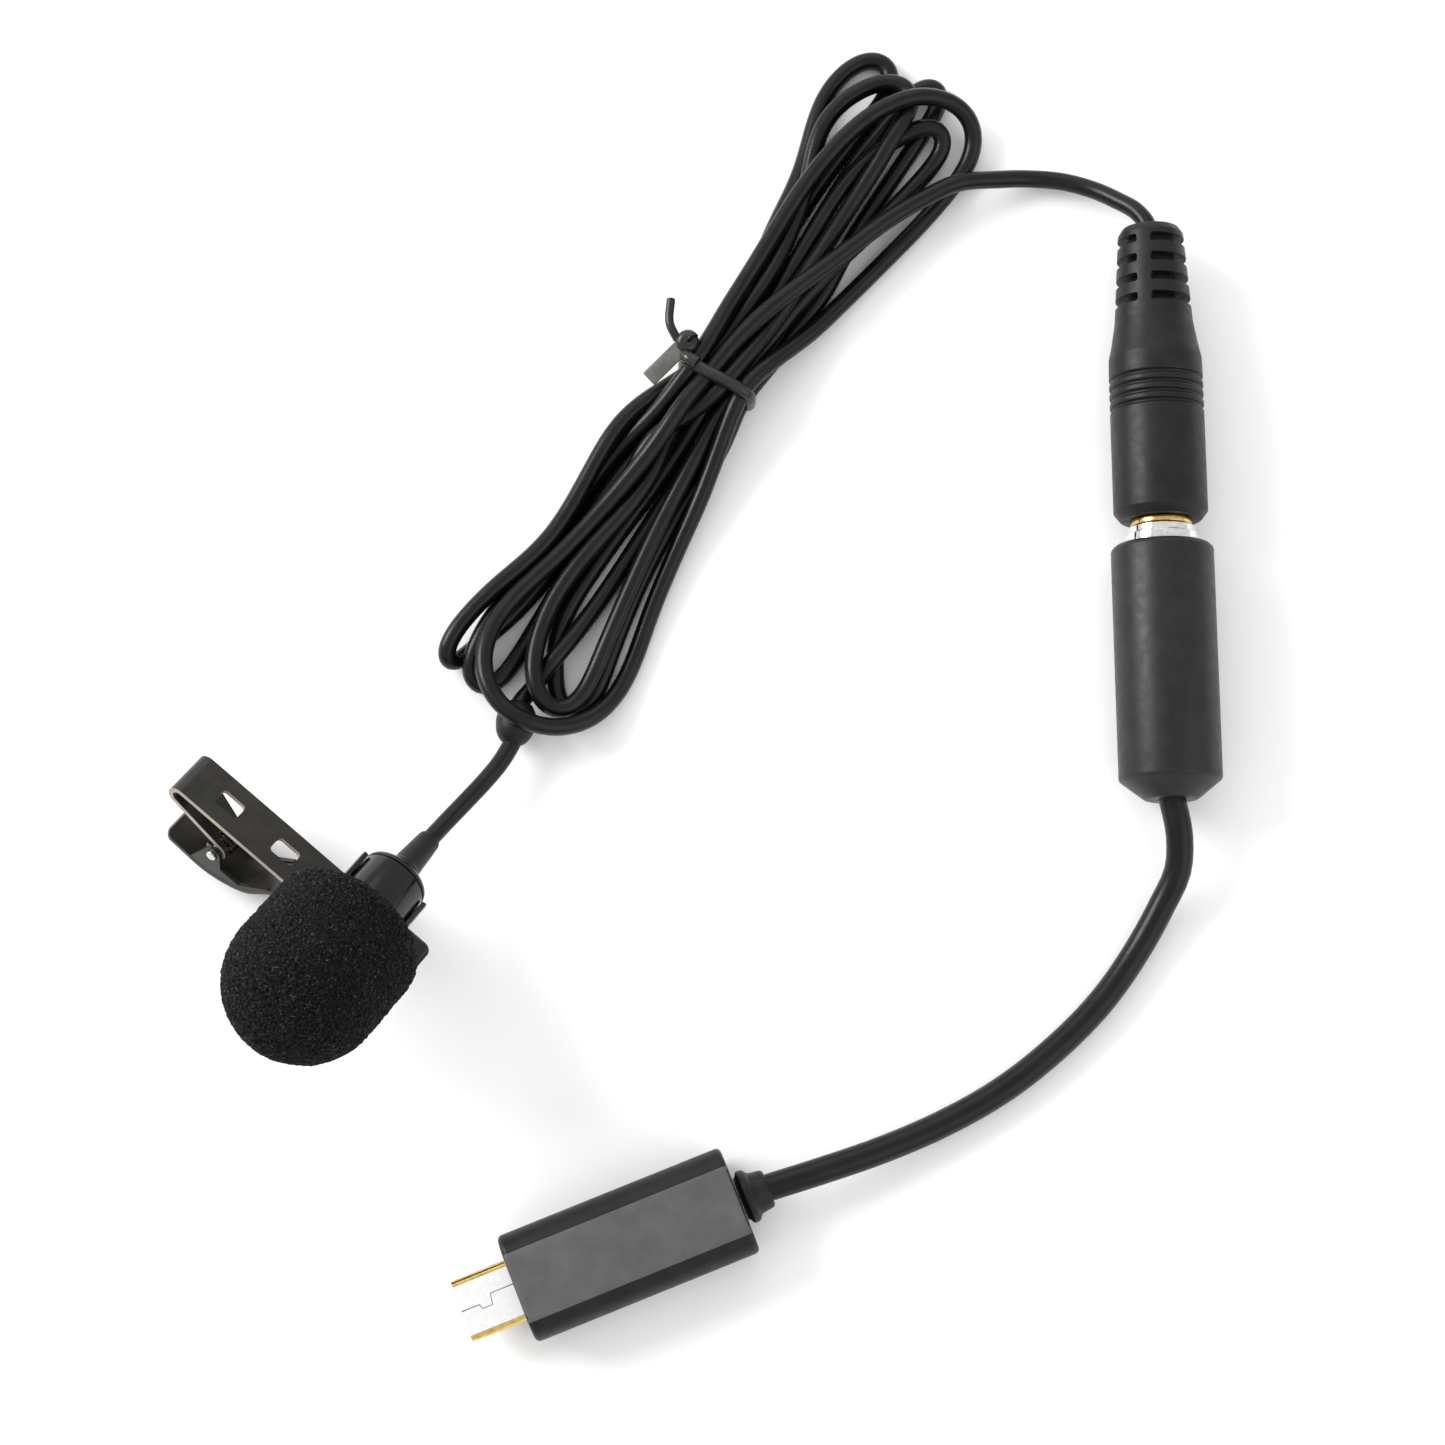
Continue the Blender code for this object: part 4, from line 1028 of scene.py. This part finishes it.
def build_pin_and_spring(head):
    radius, half, chamfer = PIN_RADIUS, PIN_HALF_LENGTH, PIN_CHAMFER
    rim = [(0, half), (radius - chamfer, half), (radius, half - chamfer)]
    pin = rim + [(r, -z) for r, z in reversed(rim)]
    place = head @ at(PIVOT[0], 0, PIVOT[1]) @ ACROSS
    attach(turned("clip_pin", pin, STEEL, place, steps=48), "clip", "bright_steel", "pivot_pin")

    reach = SPRING_TURNS * SPRING_PITCH / 2
    start, sweep = radians(100), -2 * pi * SPRING_TURNS + radians(150)
    count = 40 * SPRING_TURNS
    coil = []
    for step in range(count + 1):
        angle = start + sweep * step / count
        along = -reach + 2 * reach * step / count
        x, z = PIVOT[0] + SPRING_RADIUS * cos(angle), PIVOT[1] + SPRING_RADIUS * sin(angle)
        coil.append((x, along, z))
    first = (PIVOT[0] + SPRING_UPPER_LEG[0], -reach, PIVOT[1] + SPRING_UPPER_LEG[1])
    last = (PIVOT[0] + SPRING_LOWER_LEG[0], reach, PIVOT[1] + SPRING_LOWER_LEG[1])
    spring = wire("clip_spring", [first, *coil, last], SPRING_WIRE, SATIN_BLACK, sides=3, place=head)
    attach(spring, "clip", "bright_steel", "jaw_spring")


def jaw_path():
    """Mid-plane of the jaw: the finger tab's round corners, the long bends and the lip."""
    outer = EAR_INNER + EAR_THICKNESS
    corner = arc((0, 0), SHEET_CORNER, 180, 90, 5)
    tab = [(JAW_TAB_END + x, -14.4 - 0.1 * y, outer - SHEET_CORNER + y) for x, y in corner]
    path = smooth_route([(x, 0, z) for x, z in [(JAW_TAB_END, -14.5), *JAW_BENDS]], 0.6)
    return tab + [(p.x, p.z, outer) for p in path[1:-1]] + [(*JAW_BENDS[-1], outer - 0.3)]


def build_jaw(head):
    jaw = sheet_metal("clip_lower_jaw", jaw_path(), JAW_THICKNESS, PAINTED, head)
    ear = [EAR_HEEL, *arc(PIVOT, EAR_KNUCKLE, 165, 20, 14), *EAR_EDGE]
    plates = []
    for side in (-1, 1):
        place = head @ at(0, side * (EAR_INNER + EAR_THICKNESS / 2 - 0.01), 0) @ ACROSS
        plates.append(prism(f"ear_{side}", ear, EAR_THICKNESS - 0.04, PAINTED, place))
    cut(jaw, *plates, operation="UNION")
    place = head @ at(PIVOT[0], 0, PIVOT[1]) @ ACROSS
    hole = rod(PIN_RADIUS + PIN_CLEARANCE, 4, -4)
    bore = turned("bore", hole, PAINTED, place, soft=0, steps=48)
    notches = []
    for index in range(NOTCH_COUNT):
        x, z = NOTCH_START[0] + NOTCH_PITCH * index, NOTCH_START[1] + NOTCH_RISE * index
        place = head @ at(x, 0, z) @ Matrix.Rotation(pi / 4, 4, "Y")
        notches.append(block(f"notch_{index}", (NOTCH_WIDTH, 8, NOTCH_WIDTH), PAINTED, place))
    cut(jaw, bore, *notches)
    break_edges(jaw, 0.07, degrees_from=40)
    attach(jaw, "jaw", "painted_steel", "clip_jaw")


# ---- Plug and socket ----


def build_plug_body(axis):
    """The moulded grip with its grooves and its slotted boot round a core."""
    grooves = [(PLUG_RADIUS - depth, z + dz) for z in PLUG_GROOVES for depth, dz in GROOVE_SECTION]
    profile = (
        (0, 0), (PLUG_RADIUS - 0.7, 0), (PLUG_RADIUS, -0.9),
        *grooves,
        (PLUG_RADIUS - 0.05, -18.4), (PLUG_RADIUS - 0.4, -20.0), (4.35, -22.6),
        (4.25, BOOT_FRONT), (BOOT_RADIUS, 0.8 - PLUG_LENGTH), (BOOT_RADIUS - 0.5, -PLUG_LENGTH),
        (0, -PLUG_LENGTH),
    )
    body = turned("plug_grip", profile, SOFT_BLACK, axis, soft=0.12)
    slots = []
    spine = axis @ Matrix.Rotation(radians(BOOT_SPINE_TURN_DEG), 4, "Z")
    for index in range(BOOT_SLOT_PAIRS):
        for side in (-1, 1):
            place = spine @ at(side * BOOT_SLOT_OFFSET, 0, BOOT_SLOT_START - BOOT_SLOT_PITCH * index)
            name = f"slot_{index}_{side}"
            slots.append(block(name, BOOT_SLOT_SIZE, SOFT_BLACK, place, bevel=BOOT_SLOT_CORNER))
    cut(body, *slots)
    core = rod(BOOT_CORE_RADIUS, BOOT_FRONT, 1.0 - PLUG_LENGTH)
    cut(body, turned("core", core, SOFT_BLACK, axis, steps=48), operation="UNION")
    break_edges(body, 0.08, degrees_from=45)
    return attach(body, "microphone", "rubber", "plug_boot")


def build_plug(axis):
    """The grip and the pin's sleeve, ring and tip, with an insulator in each gap."""
    pieces = [build_plug_body(axis)]
    radius = PLUG_PIN_RADIUS
    sleeve = (
        (0, 6.6), (radius - 0.05, 6.6), (radius, 6.5), (radius, 0.8),
        (3.3, 0.8), (3.4, 0.7), (3.4, 0.1), (0, 0.1),
    )
    tip = (
        (0, 14.8), (0.4, 14.7), (1.6, 13.3), (1.65, 13.0), (1.3, 12.2), (radius, 11.3),
        (radius, 10.6), (0, 10.6),
    )
    ring = rod(radius, 9.8, 7.4)
    first = rod(PIN_GAP_RADIUS, 7.35, 6.65)
    second = rod(PIN_GAP_RADIUS, 10.55, 9.85)
    rows = (
        ("plug_pin_sleeve", sleeve, GOLD, "gold", "plug_sleeve"),
        ("plug_pin_gap_1", first, SATIN_BLACK, "satin_black", "plug_insulator_1"),
        ("plug_pin_ring", ring, GOLD, "gold", "plug_ring"),
        ("plug_pin_gap_2", second, SATIN_BLACK, "satin_black", "plug_insulator_2"),
        ("plug_pin_tip", tip, GOLD, "gold", "plug_tip"),
    )
    for name, outline, look, slot, node in rows:
        piece = turned(name, outline, look, axis, soft=0.05, steps=64)
        pieces.append(attach(piece, "microphone", slot, node))
    return pieces


def build_socket(axis):
    """The socket's grip and its plated collar."""
    housing = (
        (0, SOCKET_BORE_END), (SOCKET_BORE, SOCKET_BORE_END), (SOCKET_BORE, SOCKET_FRONT + 0.1),
        (SOCKET_RADIUS - 0.5, SOCKET_FRONT + 0.1), (SOCKET_RADIUS, SOCKET_FRONT + 0.6),
        (SOCKET_RADIUS, SOCKET_REAR), (SOCKET_CONE_RADIUS, SOCKET_CONE), (0, SOCKET_CONE),
    )
    body = turned("socket_grip", housing, RUBBER, axis, soft=0.25)
    attach(body, "adapter", "rubber", "socket_housing")
    bushing = (
        (3.7, 5.6), (3.7, SOCKET_FRONT), (4.1, SOCKET_FRONT), (4.1, 1.8), (3.8, 1.7), (3.8, 1.0),
        (3.6, 0.9), (1.9, 0.9), (1.9, 5.6),
    )
    collar = turned("socket_collar", bushing, CHROME, axis, closed=True, soft=0.06)
    attach(collar, "adapter", "bright_plate", "socket_bushing")
    return [body, collar]


# ---- USB plug ----


def build_adapter_cable():
    """The adapter's cable, from inside the socket's cone to inside the USB plug's collar."""
    inside_cone, inside_collar = 1.2, 1.0
    points = [Vector(p) for p in ADAPTER_ROUTE]
    start = points[0] + Vector((0, inside_cone, 0))
    end = points[-1] + (points[-1] - points[-2]).normalized() * inside_collar
    route = smooth_route([start, *points[1:-1], end], 1.2)
    cable = wire("adapter_cord", route, ADAPTER_CABLE_RADIUS, CABLE, sides=7)
    attach(cable, "adapter", "cable_jacket", "adapter_cable")
    return cable, points[0] * MM, route_length(route)


def build_usb_grip(place):
    """The grip with its rounded sides, and its flat top painted lighter as a painted sheen."""
    shape = bmesh.new()
    bmesh.ops.create_cube(shape, size=1, matrix=Matrix.Diagonal((*USB_SIZE, 1)))
    along = [e for e in shape.edges if abs((e.verts[0].co - e.verts[1].co).normalized().x) > 0.9]
    bmesh.ops.bevel(shape, geom=along, offset=USB_SIDE_RADIUS, segments=12, profile=0.5, affect="EDGES")
    grip = finish_shape("usb_grip", shape, SOFT_BLACK, place)
    cavity_place = place @ at(-USB_SIZE[0] / 2 + USB_CAVITY_MIDDLE, 0, 0)
    cut(grip, block("cavity", USB_CAVITY_SIZE, SOFT_BLACK, cavity_place))
    break_edges(grip, 0.55, 5, 50)
    # The upward flat faces get the lighter rubber: a painted sheen of the light from above.
    second_look(grip, TOP_SHEEN_RUBBER, lambda normal: normal.z > 0.96)
    return attach(grip, "adapter", "rubber", "usb_overmold")


def build_usb_shell(place):
    """The bright shell with gold sides, and the seam where its sheet meets itself on top."""
    front = -USB_SIZE[0] / 2 - USB_SHELL_PROUD
    shell_length = USB_SHELL_PROUD + USB_SHELL_HELD
    upright = Matrix(((0, 0, 1, 0), (1, 0, 0, 0), (0, 1, 0, 0), (0, 0, 0, 1)))
    spot = place @ at(front + shell_length / 2, 0, 0) @ upright
    shell = prism("usb_metal_shell", shell_outline(0), shell_length, TIN, spot)
    cut(shell, prism("hollow", shell_outline(USB_SHELL_WALL), shell_length + 1, TIN, spot))
    break_edges(shell, 0.12, 3, 40)
    sideways = place.to_3x3() @ Vector((0, 1, 0))
    second_look(shell, GOLD, lambda normal: abs(normal.dot(sideways)) > 0.12)
    attach(shell, "adapter", "bright_plate", "usb_shell")
    route = [(front + x, y, USB_SHELL_SIZE[1] / 2) for x, y in USB_SEAM]
    seam = wire("usb_shell_seam", route, USB_SEAM_RADIUS, TIE, sides=2, place=place)
    attach(seam, "adapter", "bright_plate")
    return [shell, seam]


def build_usb(place):
    """The grip, the shell with its seam, and the collar that the cable leaves through."""
    grip = build_usb_grip(place)
    shell, seam = build_usb_shell(place)
    collar = (
        (0, 3.35), (1.9, 3.35), (2.1, 3.1), (2.3, 1.7), (2.9, 1.3), (2.95, 0.6), (2.35, 0.3),
        (2.35, 0.1), (0, 0.1),
    )
    end = place @ at(USB_SIZE[0] / 2, 0, 0) @ Matrix.Rotation(pi / 2, 4, "Y")
    boot = turned("usb_cable_collar", collar, SOFT_BLACK, end, soft=0.25, steps=48)
    attach(boot, "adapter", "rubber", "usb_collar")
    return [grip, shell, seam, boot]


def shell_outline(inset):
    """The mini-USB shell's section: full width above, stepped in below."""
    half, height = USB_SHELL_SIZE[0] / 2 - inset, USB_SHELL_SIZE[1] / 2 - inset
    step = half - USB_SHELL_STEP
    right = [(step, -height), (step + 0.1, -0.5 + inset / 2), (half, -0.1 + inset / 2)]
    corner = (half - USB_SHELL_CORNER, height - USB_SHELL_CORNER)
    right += arc(corner, USB_SHELL_CORNER, 0, 90, 6)
    left = [(-x, y) for x, y in reversed(right)]
    return right + left


# ---- CAD pieces that show as they are ----


def dress_inner_parts():
    """Materials for the inner parts, which stay the CAD model's own."""
    looks = {
        "capsule_grille": STEEL,
        "acoustic_felt": FELT,
        "electret_capsule": STEEL,
        "capsule_gasket": SOFT_BLACK,
        "capsule_board": BOARD,
        "capsule_wire_1": RED_WIRE,
        "capsule_wire_2": CABLE,
        **dict.fromkeys([*SOCKET_INSIDE, *USB_INSIDE], GOLD),
        "socket_insulator": GREY_PLASTIC,
        "usb_insulator": SATIN_BLACK,
        "usb_board": BOARD,
    }
    for node, look in looks.items():
        obj = frame["nodes"][node]
        obj.data.materials.clear()
        obj.data.materials.append(look)


# ---- Assembly ----


def main():
    build_stage()
    cable, cable_exit, cable_length = build_mic_cable()
    junction = build_junction()
    tie = build_twist_tie()

    head = head_matrix()
    mic_axis = head @ Matrix.Rotation(-pi / 2, 4, "X")
    build_windscreen(mic_axis)
    build_barrel(mic_axis)
    build_holder(head)
    build_strip(head)
    build_pin_and_spring(head)
    build_jaw(head)

    plug_axis = plug_matrix()
    plug = build_plug(plug_axis)
    socket = build_socket(plug_axis)
    cord, cord_exit, cord_length = build_adapter_cable()
    usb = build_usb(usb_matrix())
    dress_inner_parts()


main()
